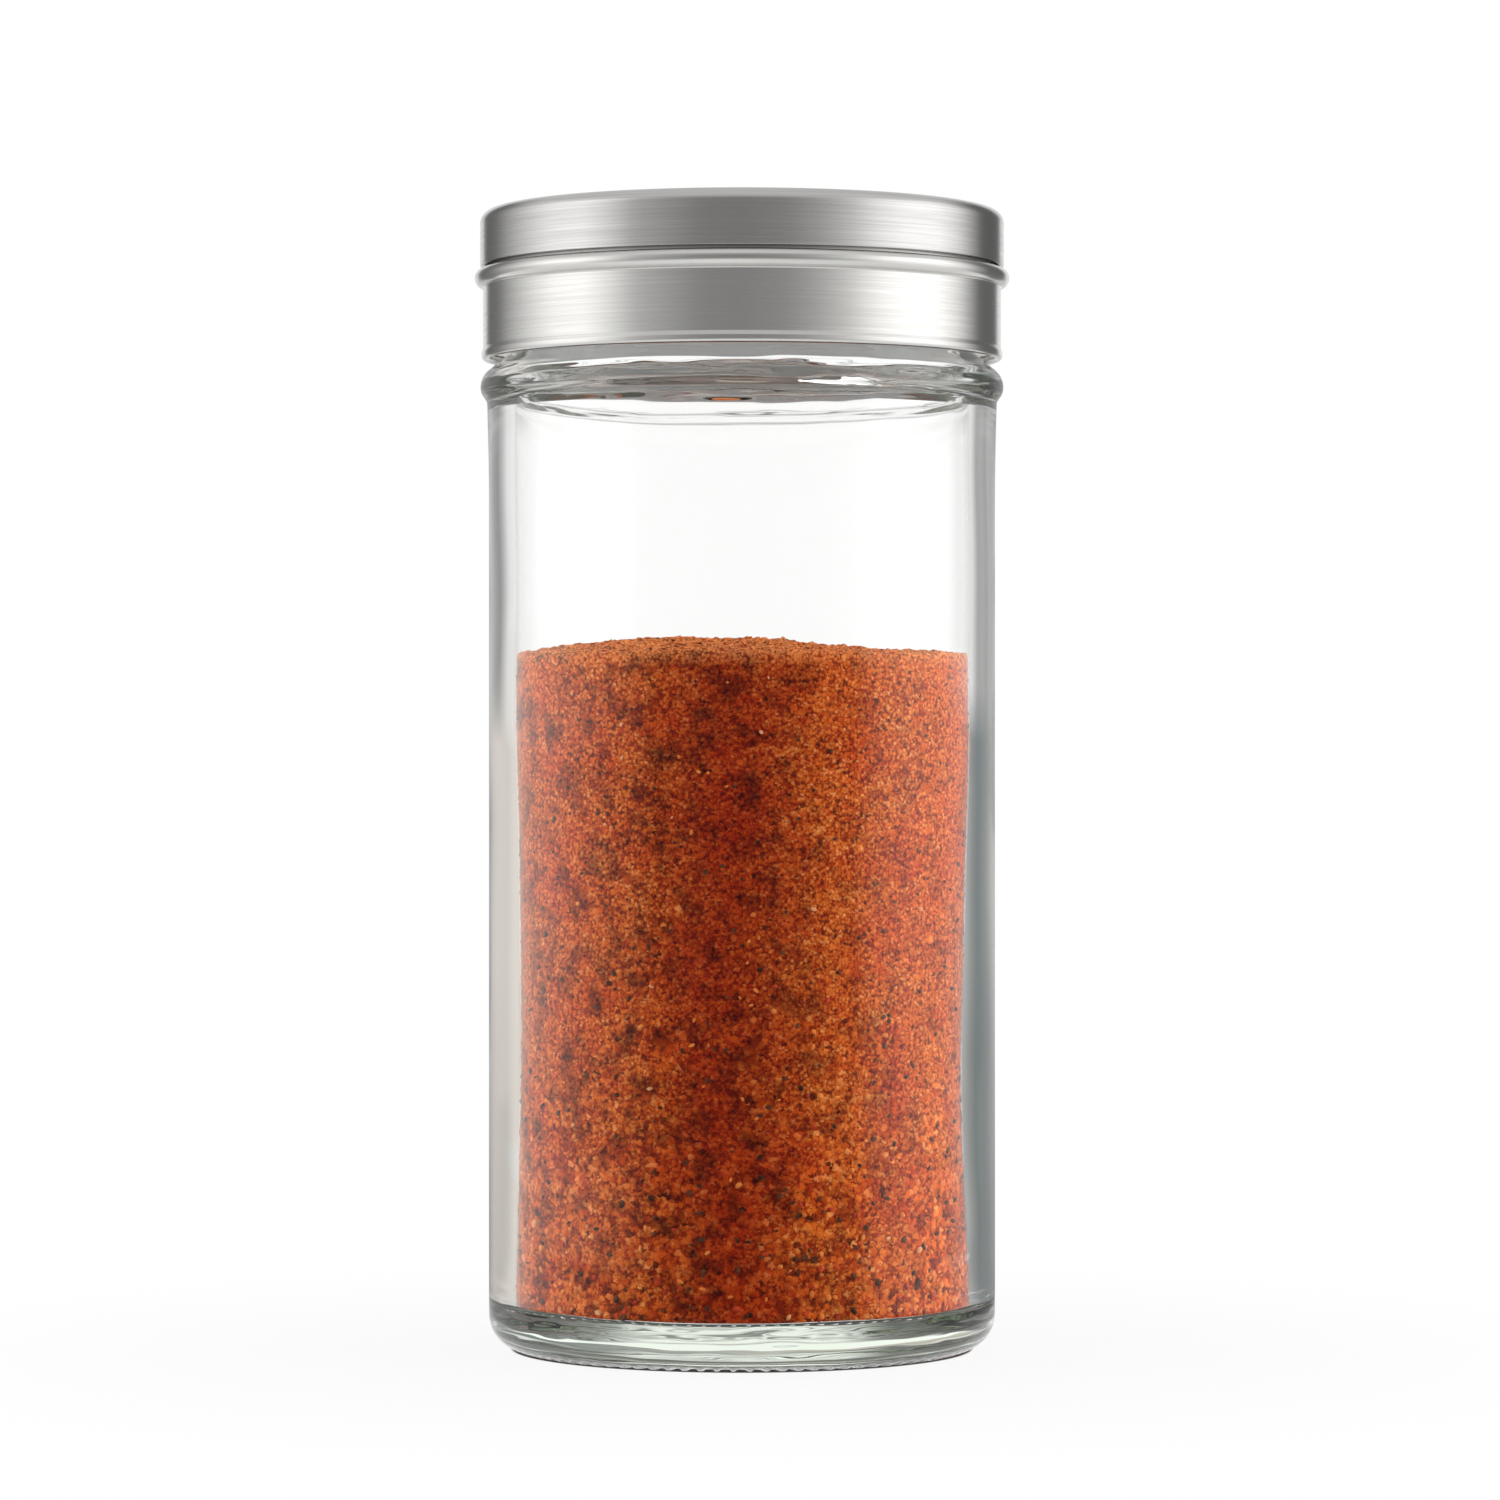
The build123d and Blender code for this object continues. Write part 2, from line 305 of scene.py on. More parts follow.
def mottled(
    tree: Tree, size: float, detail: float, tones: Table, roughness: float = 0.5
) -> tuple[Node, Socket]:
    """Adds soft patches of colour all over a piece.

    Args:
        tree: The material's tree.
        size: The patches' size in millimetres.
        detail: How many finer sizes are in them.
        tones: The colour of each level of the patches, as sRGB hex values.
        roughness: How strong the finer sizes are.

    Returns:
        The patches' colour, and their level from 0 to 1.
    """
    at = add_node(tree, "TexCoord").outputs["Object"]
    scale = 1.0 / (size * MM)
    clouds = add_node(
        tree, "TexNoise", {"Vector": at, "Scale": scale, "Detail": detail, "Roughness": roughness}
    )
    return add_node(tree, "ValToRGB", (clouds,), tones), clouds.outputs["Fac"]


def crossfade(tree: Tree, measure: Feed, between: Pair, first: Any, second: Any) -> Node:
    """Adds a change from one colour to another, as a measure goes from one bound to the next.

    Args:
        tree: The tree that gets the change.
        measure: The measure, such as a distance.
        between: The two bounds.
        first: The colour up to the first bound.
        second: The colour past the second bound.

    Returns:
        The colour.
    """
    share = add_node(tree, "MapRange", (measure, *between, 0.0, 1.0))
    return add_node(tree, "Mix", {0: share, 6: first, 7: second}, **OVER)


@dataclass(frozen=True)
class PressedSodaLimeGlass:
    """Soda-lime glass, pressed and fire-polished: clear, with iron's green where the path is long.

    Attributes:
        ior: Its refractive index.
        absorbed: The colour that a long path through the glass tends to.
        density: How strongly it is absorbed, per metre.
        lamp_share: How much of a lamp's light each face lets through.
        wobble_length: How long the mould's waves are round the jar, in millimetres.
        wobble_width: How far apart they are up the jar, in millimetres.
        wobble_depth: How deep they are, in millimetres.
        bead_wobble: How many times deeper they are round the bead and the neck.
        calm: The heights between which the wall is fire-polished smooth, in millimetres.
        calm_fade: How far past those heights the waves reach their full depth, in millimetres.
        skin: The radii between which the waves set in, so that only the outside has them.
    """

    ior: float = 1.517
    absorbed: str = "c8dbbc"
    density: float = 12.0
    lamp_share: str = "f6f8f6"
    wobble_length: float = 8.0
    wobble_width: float = 1.2
    wobble_depth: float = 0.1
    bead_wobble: float = 2.0
    calm: Pair = (6.0, 88.8)
    calm_fade: float = 1.5
    skin: Pair = (21.8, 22.2)

    def material(self) -> Material:
        """A clear refracting glass with a faint green body, wavy where the mould chilled it.

        Returns:
            The material.
        """
        material, tree = new_material("pressed_soda_lime_glass")
        at = add_node(tree, "TexCoord").outputs["Object"]
        x, y, z = add_node(tree, "SeparateXYZ", (at,)).outputs
        stretch = (1 / self.wobble_length / MM,) * 2 + (1 / self.wobble_width / MM,)
        rings = add_node(tree, "Mapping", {"Vector": at, "Scale": stretch})
        waves = add_node(tree, "TexNoise", {"Vector": rings, "Scale": 1.0, "Detail": 1.0})
        flat = add_node(tree, "CombineXYZ", (x, y))
        reach = add_node(tree, "VectorMath", (flat,), operation="LENGTH")
        inner, outer = (radius * MM for radius in self.skin)
        outside = add_node(tree, "MapRange", (reach, inner, outer, 0.0, 1.0))
        bottom, top = self.calm
        low = add_node(tree, "MapRange", (z, (bottom - self.calm_fade) * MM, bottom * MM, 1.0, 0.0))
        high = add_node(tree, "MapRange", (z, top * MM, (top + self.calm_fade) * MM, 0.0, 1.0))
        bead = add_node(tree, "Math", (high, self.bead_wobble), operation="MULTIPLY")
        either = add_node(tree, "Math", (low, bead), operation="MAXIMUM")
        wavy = add_node(tree, "Math", (either, outside), operation="MULTIPLY")
        lift = add_node(tree, "Math", (waves, wavy), operation="MULTIPLY")
        relief = add_node(tree, "Bump", {"Height": lift, "Strength": 1.0, "Distance": self.wobble_depth * MM})
        look = {"Base Color": WHITE, "Roughness": 0.0, "IOR": self.ior, "Transmission Weight": 1.0}
        glass = add_node(tree, "BsdfPrincipled", {**look, "Normal": relief})
        # Lamps reach the spice through the glass, as they do through the real jar
        clear = add_node(tree, "BsdfTransparent", {"Color": srgb(self.lamp_share)})
        lamps = add_node(tree, "LightPath").outputs["Is Shadow Ray"]
        surface = add_node(tree, "MixShader", (lamps, glass, clear))
        body = add_node(tree, "VolumeAbsorption", {"Color": srgb(self.absorbed), "Density": self.density})
        add_node(tree, "OutputMaterial", {"Surface": surface, "Volume": body})
        return material


@dataclass(frozen=True)
class BrushedStainless:
    """Stainless steel sheet, brushed round the lid: long fine streaks and a stretched sheen.

    Attributes:
        name: The material's name.
        light: The steel between the brush lines.
        dark: The steel in the brush lines.
        roughness: The roughness between and in the brush lines.
        anisotropy: How much the brushing stretches the sheen.
        streak_length: How long a brush line is, in millimetres.
        streak_width: How wide it is, in millimetres, drawn wider than real so that it shows.
        streak_height: How deep the lines look, in millimetres.
        levels: The levels of the streaks that are wholly dark and wholly light.
    """

    name: str = "brushed_stainless"
    light: str = "d0cfcd"
    dark: str = "c2c1bf"
    roughness: Pair = (0.2, 0.28)
    anisotropy: float = 0.7
    streak_length: float = 14.0
    streak_width: float = 0.16
    streak_height: float = 0.002
    levels: Pair = (0.3, 0.7)

    def material(self, radius: float) -> Material:
        """A brushed metal whose lines run round the Z axis.

        Args:
            radius: The lid's radius in millimetres, which sets how the lines wrap round it.

        Returns:
            The material.
        """
        material, tree = new_material(self.name)
        at = add_node(tree, "TexCoord").outputs["Object"]
        height = add_node(tree, "SeparateXYZ", (at,)).outputs["Z"]
        flat = add_node(tree, "VectorMath", (at, (1.0, 1.0, 0.0)), operation="MULTIPLY")
        around = add_node(tree, "VectorMath", (flat,), operation="NORMALIZE")
        wrap = add_node(
            tree, "VectorMath", {0: around, "Scale": radius / self.streak_length}, operation="SCALE"
        )
        x, y, _ = add_node(tree, "SeparateXYZ", (wrap,)).outputs
        reach = add_node(tree, "VectorMath", (flat,), operation="LENGTH")
        level = add_node(tree, "Math", (height, reach), operation="SUBTRACT")
        line = add_node(tree, "Math", (level, 1.0 / (self.streak_width * MM)), operation="MULTIPLY")
        weave = add_node(tree, "CombineXYZ", (x, y, line))
        streaks = add_node(tree, "TexNoise", {"Vector": weave, "Scale": 1.0, "Detail": 3.0, "Roughness": 0.6})
        tone = add_node(tree, "ValToRGB", (streaks,), tuple(zip(self.levels, (self.dark, self.light))))
        gloss = add_node(tree, "MapRange", (streaks, *self.levels, *reversed(self.roughness)))
        relief = add_node(
            tree, "Bump", {"Height": streaks, "Strength": 1.0, "Distance": self.streak_height * MM}
        )
        sheen = {"Metallic": 1.0, "Anisotropic": self.anisotropy, "Anisotropic Rotation": 0.25}
        steel = add_node(
            tree, "BsdfPrincipled", {**sheen, "Base Color": tone, "Roughness": gloss, "Normal": relief}
        )
        add_node(tree, "OutputMaterial", {"Surface": steel})
        return material


@dataclass(frozen=True)
class TurnedStainless:
    """Stainless steel turned or drawn smooth, as on a rivet: bright with a faint grain.

    Attributes:
        name: The material's name.
        light: The steel's lighter grain.
        dark: Its darker grain.
        roughness: Its roughness.
        grain: The grain's size, in millimetres, drawn coarser than real so that it shows.
    """

    name: str = "turned_stainless"
    light: str = "dcdbd8"
    dark: str = "d0cecb"
    roughness: float = 0.18
    grain: float = 0.4

    def material(self) -> Material:
        """A bright steel with a fine mottled grain.

        Returns:
            The material.
        """
        material, tree = new_material(self.name)
        tone, _ = mottled(tree, self.grain, 3.0, ((0.3, self.dark), (0.7, self.light)))
        steel = add_node(
            tree, "BsdfPrincipled", {"Base Color": tone, "Metallic": 1.0, "Roughness": self.roughness}
        )
        add_node(tree, "OutputMaterial", {"Surface": steel})
        return material


@dataclass(frozen=True)
class MouldedPlastic:
    """A moulded plastic or silicone with the fine sparkle of a spark-eroded mould.

    Attributes:
        name: The material's name.
        light: Its colour.
        dark: Its colour in the hollows of the texture.
        roughness: Its roughness.
        ior: Its refractive index.
        milkiness: How much light passes into it and out again.
        milk_depth: How far that light goes, in millimetres.
        grit: The mould texture's pitch, in millimetres.
        grit_depth: The texture's depth, in millimetres.
    """

    name: str
    light: str
    dark: str
    roughness: float
    ior: float
    milkiness: float
    milk_depth: float = 0.5
    grit: float = 0.25
    grit_depth: float = 0.02

    def material(self) -> Material:
        """A matt, slightly milky plastic.

        Returns:
            The material.
        """
        material, tree = new_material(self.name)
        tone, texture = mottled(tree, self.grit, 2.0, ((0.35, self.dark), (0.65, self.light)))
        relief = add_node(
            tree, "Bump", {"Height": texture, "Strength": 0.4, "Distance": self.grit_depth * MM}
        )
        milk = {
            "Subsurface Weight": self.milkiness,
            "Subsurface Radius": (1.0, 1.0, 1.0),
            "Subsurface Scale": self.milk_depth * MM,
        }
        look = {"Base Color": tone, "Roughness": self.roughness, "IOR": self.ior, "Normal": relief}
        plastic = add_node(tree, "BsdfPrincipled", {**milk, **look})
        add_node(tree, "OutputMaterial", {"Surface": plastic})
        return material


@dataclass(frozen=True)
class GroundSpice:
    """Ground chilli and herbs: rust-red grains with dark skins, orange seed and darker drifts.

    Attributes:
        grains: The share of grains up to each colour, from the darkest skins to pale seed.
        gaps: The painted shade in the gaps round a grain and on its crown.
        dark_drifts: How the darker drifts shade the grains, by share.
        red_drifts: How the redder drifts tint them, by share.
        front_shade_tone: The tint of the painted shade down the front, which darkens and reddens the grains.
        front_shade: The painted shade's middle along X and its reach to each side, in millimetres.
        front_shade_core: How far to each side it is full, and how far its edge sways, in millimetres.
        front_shade_depth: Where along Y the painted shade is full and where it ends, in millimetres.
        crest_light_tone: The painted light on the crowns of the grains on the loose top.
        raggedness: How ragged the grains are, as a share of their size.
        tatter: How many times finer than the grains their ragged edges are.
        rim: Where a grain starts to fall off to its gap and where it ends, as a share of its size.
        fine_grain: The fine powder's grain, in millimetres.
        coarse_grain: The coarse flakes' size, in millimetres.
        patch: The size of the patches of fine and coarse powder, in millimetres.
        patch_edge: The levels between which a patch turns from fine to coarse.
        settled: How the height leans that level, where the powder is fine and where it is coarse.
        drift: The size of the darker drifts, in millimetres.
        red_drift: The size of the redder drifts, in millimetres.
        drift_fade: Where along X the darker drifts start and stop fading, in millimetres, and to what.
        coarse_below: The height under which the flakes are coarse, in millimetres.
        fine_above: The height over which the powder is fine, in millimetres.
        crest: The height over which the loose top shows orange with painted light, in millimetres.
        crest_fade: How far over that height the painted light is full, in millimetres.
        relief_depth: How deep the gaps between the grains look, in millimetres.
    """

    grains: Table = (
        (0.00, "5c2c10"), (0.07, "a83a0e"), (0.22, "c85318"), (0.50, "da6922"), (0.82, "e47e34"),
        (0.97, "ee9854"),
    )
    gaps: Table = ((0.0, "ac8270"), (0.5, "ffffff"))
    dark_drifts: Table = ((0.3, "8c7c68"), (0.42, "cbbcac"), (0.52, "ffffff"))
    red_drifts: Table = ((0.4, "ffffff"), (0.52, "fff0ea"), (0.66, "f6ccc0"))
    front_shade_tone: str = "daa68a"
    front_shade: Pair = (-1.5, 9.0)
    front_shade_core: float = 1.5
    front_shade_depth: Pair = (-12.0, -6.0)
    crest_light_tone: str = "f49a58"
    raggedness: float = 1.25
    tatter: float = 1.7
    rim: Pair = (0.2, 0.75)
    fine_grain: float = 0.28
    coarse_grain: float = 0.55
    patch: float = 1.6
    patch_edge: Pair = (0.48, 0.6)
    settled: Pair = (-0.16, 0.08)
    drift: float = 2.3
    red_drift: float = 5.98
    drift_fade: tuple[float, float, float] = (1.0, 12.0, 0.45)
    coarse_below: float = 14.0
    fine_above: float = 55.0
    crest: float = 64.3
    crest_fade: float = 1.6
    relief_depth: float = 0.14

    def grain(self, tree: Tree, at: Feed, size: float) -> tuple[Node, Node]:
        """Adds ragged grains of one size, each with its own colour and painted shade in the gaps round it.

        Args:
            tree: The material's tree.
            at: The coordinates.
            size: The grains' size in millimetres.

        Returns:
            The grains' colours, and their height from gap to crown.
        """
        scale = 1.0 / (size * MM)
        stir = add_node(tree, "TexNoise", {"Vector": at, "Scale": scale * self.tatter, "Detail": 1.0})
        middle = (0.5, 0.5, 0.5)
        centred = add_node(tree, "VectorMath", (stir.outputs["Color"], middle), operation="SUBTRACT")
        push = (self.raggedness * size * MM,) * 3
        ragged = add_node(tree, "VectorMath", (centred, push, at), operation="MULTIPLY_ADD")
        cells = add_node(tree, "TexVoronoi", {"Vector": ragged, "Scale": scale, "Randomness": 1.0})
        pick = add_node(tree, "SeparateColor", (cells.outputs["Color"],))
        tones = add_node(tree, "ValToRGB", (pick,), self.grains)
        # Painted shade: each grain darkens towards the gap round it
        crown = add_node(tree, "MapRange", (cells, *self.rim, 1.0, 0.0))
        shade = add_node(tree, "ValToRGB", (crown,), self.gaps)
        return add_node(tree, "Mix", {0: 1.0, 6: tones, 7: shade}, **TINT), crown

    def front_shade_share(self, tree: Tree, x: Feed, y: Feed, patches: Feed) -> Node:
        """Adds the share of the painted shade down the front of the bed.

        Args:
            tree: The material's tree.
            x: The place along X.
            y: The place along Y.
            patches: The patches that make the painted shade's edge sway.

        Returns:
            The painted shade's share, from 0 to 1.
        """
        middle, side = (place * MM for place in self.front_shade)
        core = self.front_shade_core * MM
        full, end = (place * MM for place in self.front_shade_depth)
        sway = add_node(tree, "MapRange", (patches, 0.3, 0.7, -core, core))
        offset = add_node(tree, "Math", (x, middle), operation="SUBTRACT")
        aside = add_node(tree, "Math", (offset,), operation="ABSOLUTE")
        swayed = add_node(tree, "Math", (aside, sway), operation="ADD")
        near = add_node(tree, "MapRange", (swayed, core, side, 1.0, 0.0))
        front = add_node(tree, "MapRange", (y, full, end, 1.0, 0.0))
        return add_node(tree, "Math", (near, front), operation="MULTIPLY")

    def material(self) -> Material:
        """A matt powder of many-coloured grains, finer near the top of the jar.

        Returns:
            The material.
        """
        material, tree = new_material("ground_spice")
        at = add_node(tree, "TexCoord").outputs["Object"]
        x, y, z = add_node(tree, "SeparateXYZ", (at,)).outputs
        fine, fine_crown = self.grain(tree, at, self.fine_grain)
        coarse, coarse_crown = self.grain(tree, at, self.coarse_grain)
        patches = add_node(tree, "TexNoise", {"Vector": at, "Scale": 1.0 / (self.patch * MM), "Detail": 2.0})
        high, low = self.fine_above * MM, self.coarse_below * MM
        settled = add_node(tree, "MapRange", (z, high, low, *self.settled))
        stirred = add_node(tree, "Math", (patches, settled), operation="ADD")
        chosen = add_node(tree, "MapRange", (stirred, *self.patch_edge, 0.0, 1.0))
        grains = add_node(tree, "Mix", {0: chosen, 6: fine, 7: coarse}, **OVER)
        relief = add_node(tree, "Mix", {0: chosen, 2: fine_crown, 3: coarse_crown}, data_type="FLOAT")
        darker, _ = mottled(tree, self.drift, 4.0, self.dark_drifts, 0.6)
        redder, _ = mottled(tree, self.red_drift, 4.0, self.red_drifts, 0.6)
        start, stop, least = self.drift_fade
        strength = add_node(tree, "MapRange", (x, start * MM, stop * MM, 1.0, least))
        # The last tint is painted shade down the front of the bed, darker and redder where less light falls
        front_shade = (self.front_shade_share(tree, x, y, patches), srgb(self.front_shade_tone))
        toned = grains
        for share, tint in ((strength, darker), (1.0, redder), front_shade):
            toned = add_node(tree, "Mix", {0: share, 6: toned, 7: tint}, **TINT)
        # Painted light: the crowns of the grains on the loose top turn orange as if lit from above
        crest_top = (self.crest + self.crest_fade) * MM
        loose = add_node(tree, "MapRange", (z, self.crest * MM, crest_top, 0.0, 1.0))
        proud = add_node(tree, "MapRange", (relief, 0.1, 0.9, 0.1, 0.9))
        lit = add_node(tree, "Math", (loose, proud), operation="MULTIPLY")
        lit_crest = add_node(tree, "Mix", {0: lit, 6: toned, 7: srgb(self.crest_light_tone)}, **OVER)
        bump = add_node(tree, "Bump", {"Height": relief, "Strength": 0.8, "Distance": self.relief_depth * MM})
        look = {"Base Color": lit_crest, "Roughness": 0.8, "Specular IOR Level": 0.05}
        powder = add_node(tree, "BsdfPrincipled", {**look, "Normal": bump})
        add_node(tree, "OutputMaterial", {"Surface": powder})
        return material


class FlakeKind(Enum):
    """The coarse bits in the spice: name, light and dark colours, and how many there are."""

    CHILLI_SKIN = ("chilli_skins", "c8431a", "8d2409", 900)
    DARK_HUSK = ("dark_husks", "6b3a1c", "34160a", 1000)
    ORANGE_SEED = ("orange_seed", "ea8a3c", "d46c28", 500)
    PALE_SEED = ("pale_seed", "efb27c", "dc8c54", 70)

    def __init__(self, label: str, light: str, dark: str, count: int) -> None:
        """Names the kind's values.

        Args:
            label: The piece's name.
            light: The lighter sRGB hex colour.
            dark: The darker sRGB hex colour.
            count: How many bits there are.
        """
        self.label = label
        self.light = light
        self.dark = dark
        self.count = count

    def material(self) -> Material:
        """A dry vegetable skin whose colour wanders from bit to bit.

        Returns:
            The material.
        """
        material, tree = new_material(self.label)
        blotch = 0.8
        tone, _ = mottled(tree, blotch, 3.0, ((0.35, self.dark), (0.62, self.light)))
        look = {"Base Color": tone, "Roughness": 0.6, "Specular IOR Level": 0.15}
        skin = add_node(tree, "BsdfPrincipled", look)
        add_node(tree, "OutputMaterial", {"Surface": skin})
        return material


@dataclass(frozen=True)
class PressedGlassJar:
    """The glass jar, in millimetres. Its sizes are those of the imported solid.

    Attributes:
        body_radius: The outside of the straight body.
        body_fullness: How much fuller the body is right under the bead.
        fullness_reach: How far under the bead the fullness starts.
        bore_radius: The inside of the body.
        wall_swell: How much thicker the pressed wall is low down, where the plunger ran cold.
        swell_height: The height at which it is thickest.
        swell_reach: How far up and down the swell spreads.
        wall_ripple: How deep the bore's waves are.
        ripple_turn: How closely they follow each other round the bore.
        ripple_length: How far apart they are up the bore.
        ripple_fade: How far the swell and the waves take to set in.
        ripple_end: How far under the neck's foot they end.
        heel_radius: The rounding between body and foot.
        foot_ring_width: The width of the ring that the jar stands on.
        foot_ring_rounding: The rounding of its inner edge.
        punt_height: How high the bottom's hollow is.
        punt_slope_width: The width of the hollow's sloping edge.
        floor_height: The inside of the bottom.
        floor_corner_radius: The rounding between bore and floor.
        bead_projection: How far the shoulder bead stands out.
        bead_rise: The height of the slope from the body to the bead.
        bead_flat: The height of the bead's upright face.
        bead_slope: The height of the slope from the bead in to the neck.
        bead_foot_rounding: The rounding between the body and the slope to the bead.
        bead_low_rounding: The rounding of the bead's lower edge.
        bead_high_rounding: The rounding of its upper edge.
        neck_radius: The neck under its thread.
        neck_bore_radius: The neck's inside.
        neck_foot_height: Where the neck starts.
        throat_height: How far over that the neck's straight bore starts.
        throat_depth: How far under it the body's straight bore ends.
        throat_rounding: The rounding at both ends of the slope between the two bores.
        rim_height: The top of the rim.
        rim_rounding: The rounding of the rim and of the neck's foot.
        stipples: The number of grooves round the foot.
        stipple_radius: The radius of a groove.
        stipple_depth: How deep it is cut.
        stipple_start: The radius at which the grooves start.
        thread_pitch: How far the thread rises in a turn.
        thread_low_height: Where it starts.
        thread_turns: How many turns it has.
        thread_projection: How far its rib stands out.
        thread_root: Half the rib's height at its root.
        thread_crest: Half its height where it is full.
        thread_run_out: The share of a turn in which each end of the rib runs out.
        thread_step: The longest straight piece up the neck, so that the rib shows round.
        steps_per_stipple: The number of pieces round the jar for one groove.
    """

    body_radius: float = 24.0
    body_fullness: float = 0.22
    fullness_reach: float = 11.0
    bore_radius: float = 21.6
    wall_swell: float = 0.5
    swell_height: float = 31.0
    swell_reach: float = 20.0
    wall_ripple: float = 0.1
    ripple_turn: float = 1.6
    ripple_length: float = 14.0
    ripple_fade: float = 6.0
    ripple_end: float = 5.0
    heel_radius: float = 3.3
    foot_ring_width: float = 1.6
    foot_ring_rounding: float = 0.5
    punt_height: float = 1.4
    punt_slope_width: float = 2.0
    floor_height: float = 4.2
    floor_corner_radius: float = 0.6
    bead_projection: float = 0.8
    bead_rise: float = 1.2
    bead_flat: float = 1.4
    bead_slope: float = 2.4
    bead_foot_rounding: float = 2.0
    bead_low_rounding: float = 1.3
    bead_high_rounding: float = 2.0
    neck_radius: float = 21.85
    neck_bore_radius: float = 19.5
    neck_foot_height: float = 94.4
    throat_height: float = 1.1
    throat_depth: float = 3.4
    throat_rounding: float = 3.0
    rim_height: float = 104.3
    rim_rounding: float = 0.8
    stipples: int = 88
    stipple_radius: float = 0.55
    stipple_depth: float = 0.45
    stipple_start: float = 19.9
    thread_pitch: float = 4.233
    thread_low_height: float = 95.7
    thread_turns: float = 1.2
    thread_projection: float = 1.0
    thread_root: float = 1.1
    thread_crest: float = 0.6
    thread_run_out: float = 0.03
    thread_step: float = 0.26
    steps_per_stipple: int = 5

    def bore(self, angle: float, height: float) -> float:
        """The bore's radius, which the pressing leaves a little uneven.

        Args:
            angle: The direction round the jar, in radians.
            height: The height in millimetres.

        Returns:
            The radius in millimetres.
        """
        swell = math.exp(-(((height - self.swell_height) / self.swell_reach) ** 2))
        x, y = math.cos(angle) * self.ripple_turn, math.sin(angle) * self.ripple_turn
        ripple = noise.noise(Vector((x, y, height / self.ripple_length)))
        return self.bore_radius - self.wall_swell * swell + self.wall_ripple * ripple

    def outline(self) -> Outline:
        """The jar's outline: punt, foot ring, heel, wall, bead, neck, rim, bore and floor.

        Returns:
            The outline, from the punt's middle round to the floor's.
        """
        foot = self.body_radius - self.heel_radius
        ring = foot - self.foot_ring_width
        slope = ring - self.punt_slope_width
        bead = self.body_radius + self.bead_projection
        bead_high = self.neck_foot_height - self.bead_slope
        bead_low = bead_high - self.bead_flat
        throat_top = self.neck_foot_height + self.throat_height
        throat_foot = self.neck_foot_height - self.throat_depth
        return Outline(
            (
                Corner(0.0, self.punt_height),
                Corner(slope, self.punt_height, self.punt_slope_width),
                Corner(ring, 0.0, self.foot_ring_rounding),
                Corner(self.body_radius, 0.0, self.heel_radius),
                Corner(self.body_radius, bead_low - self.bead_rise, self.bead_foot_rounding),
                Corner(bead, bead_low, self.bead_low_rounding),
                Corner(bead, bead_high, self.bead_high_rounding),
                Corner(self.neck_radius, self.neck_foot_height, self.rim_rounding, self.thread_step),
                Corner(self.neck_radius, self.rim_height, self.rim_rounding),
                Corner(self.neck_bore_radius, self.rim_height, self.rim_rounding),
                Corner(self.neck_bore_radius, throat_top, self.throat_rounding),
                Corner(self.bore_radius, throat_foot, self.throat_rounding),
                Corner(self.bore_radius, self.floor_height, self.floor_corner_radius),
                Corner(0.0, self.floor_height),
            ),
            step=2.4,
            arc_step=7.5,
        )

    def thread_rise(self, angle: float, height: float) -> float:
        """How far the screw rib stands out of the neck.

        Args:
            angle: The direction round the neck, in radians from 0 to a full turn.
            height: The height in millimetres.

        Returns:
            The rise in millimetres.
        """
        rise = 0.0
        for lap in range(math.ceil(self.thread_turns)):
            turns = angle / math.tau + lap
            if turns > self.thread_turns:
                continue
            ends = min(1.0, turns / self.thread_run_out, (self.thread_turns - turns) / self.thread_run_out)
            away = abs(height - self.thread_low_height - turns * self.thread_pitch)
            share = (self.thread_root - away) / (self.thread_root - self.thread_crest)
            share = min(1.0, max(0.0, share))
            rise = max(rise, self.thread_projection * ends * share * share * (3 - 2 * share))
        return rise

    def stipple_lift(self, angle: float, radius: float) -> float:
        """How high the stippling lifts the foot at a place, in millimetres.

        Args:
            angle: The direction round the foot, in radians.
            radius: The radius in millimetres.

        Returns:
            The height of the groove's roof, or less than zero between two grooves.
        """
        pitch = math.tau / self.stipples
        aside = radius * (angle - pitch * round(angle / pitch))
        if radius < self.stipple_start or abs(aside) >= self.stipple_radius:
            return -1.0
        roof = self.stipple_depth - self.stipple_radius
        return roof + math.sqrt(self.stipple_radius**2 - aside**2)

    def build(self, finish: PressedSodaLimeGlass) -> Piece:
        """Models the jar and dresses it.

        Args:
            finish: The glass.

        Returns:
            The jar.
        """
        mesh = turned(self.outline(), self.stipples * self.steps_per_stipple)
        top = self.neck_foot_height - self.ripple_end
        bottom = self.floor_height + self.floor_corner_radius
        bead = self.neck_foot_height - self.bead_slope - self.bead_flat
        for vertex in mesh.verts:
            reach = math.hypot(vertex.co.x, vertex.co.y) / MM
            height = vertex.co.z / MM
            if reach < 1.0:
                continue
            angle = math.atan2(vertex.co.y, vertex.co.x) % math.tau
            on_neck = self.neck_radius - 0.3 < reach < self.neck_radius + 0.2
            wanted = reach
            if abs(reach - self.bore_radius) < 0.01 and bottom - 0.1 < height < top:
                fade = min(1.0, (height - bottom) / self.ripple_fade, (top - height) / self.ripple_fade)
                wanted = reach + max(0.0, fade) * (self.bore(angle, height) - reach)
            elif self.body_radius - 0.01 < reach and self.heel_radius < height < bead:
                near_bead = max(0.0, 1.0 - (bead - height) / self.fullness_reach)
                wanted = max(reach, self.body_radius + self.body_fullness * near_bead**2)
            elif on_neck and height > self.neck_foot_height - 0.6:
                wanted = reach + self.thread_rise(angle, height)
            elif height < self.stipple_depth and reach > self.stipple_start - 0.1:
                vertex.co.z = max(height, self.stipple_lift(angle, reach)) * MM
            vertex.co.x *= wanted / reach
            vertex.co.y *= wanted / reach
        piece = weighted(finished("jar_glass", mesh, finish.material()))
        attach(piece, "jar")
        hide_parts("glass_jar")
        return piece


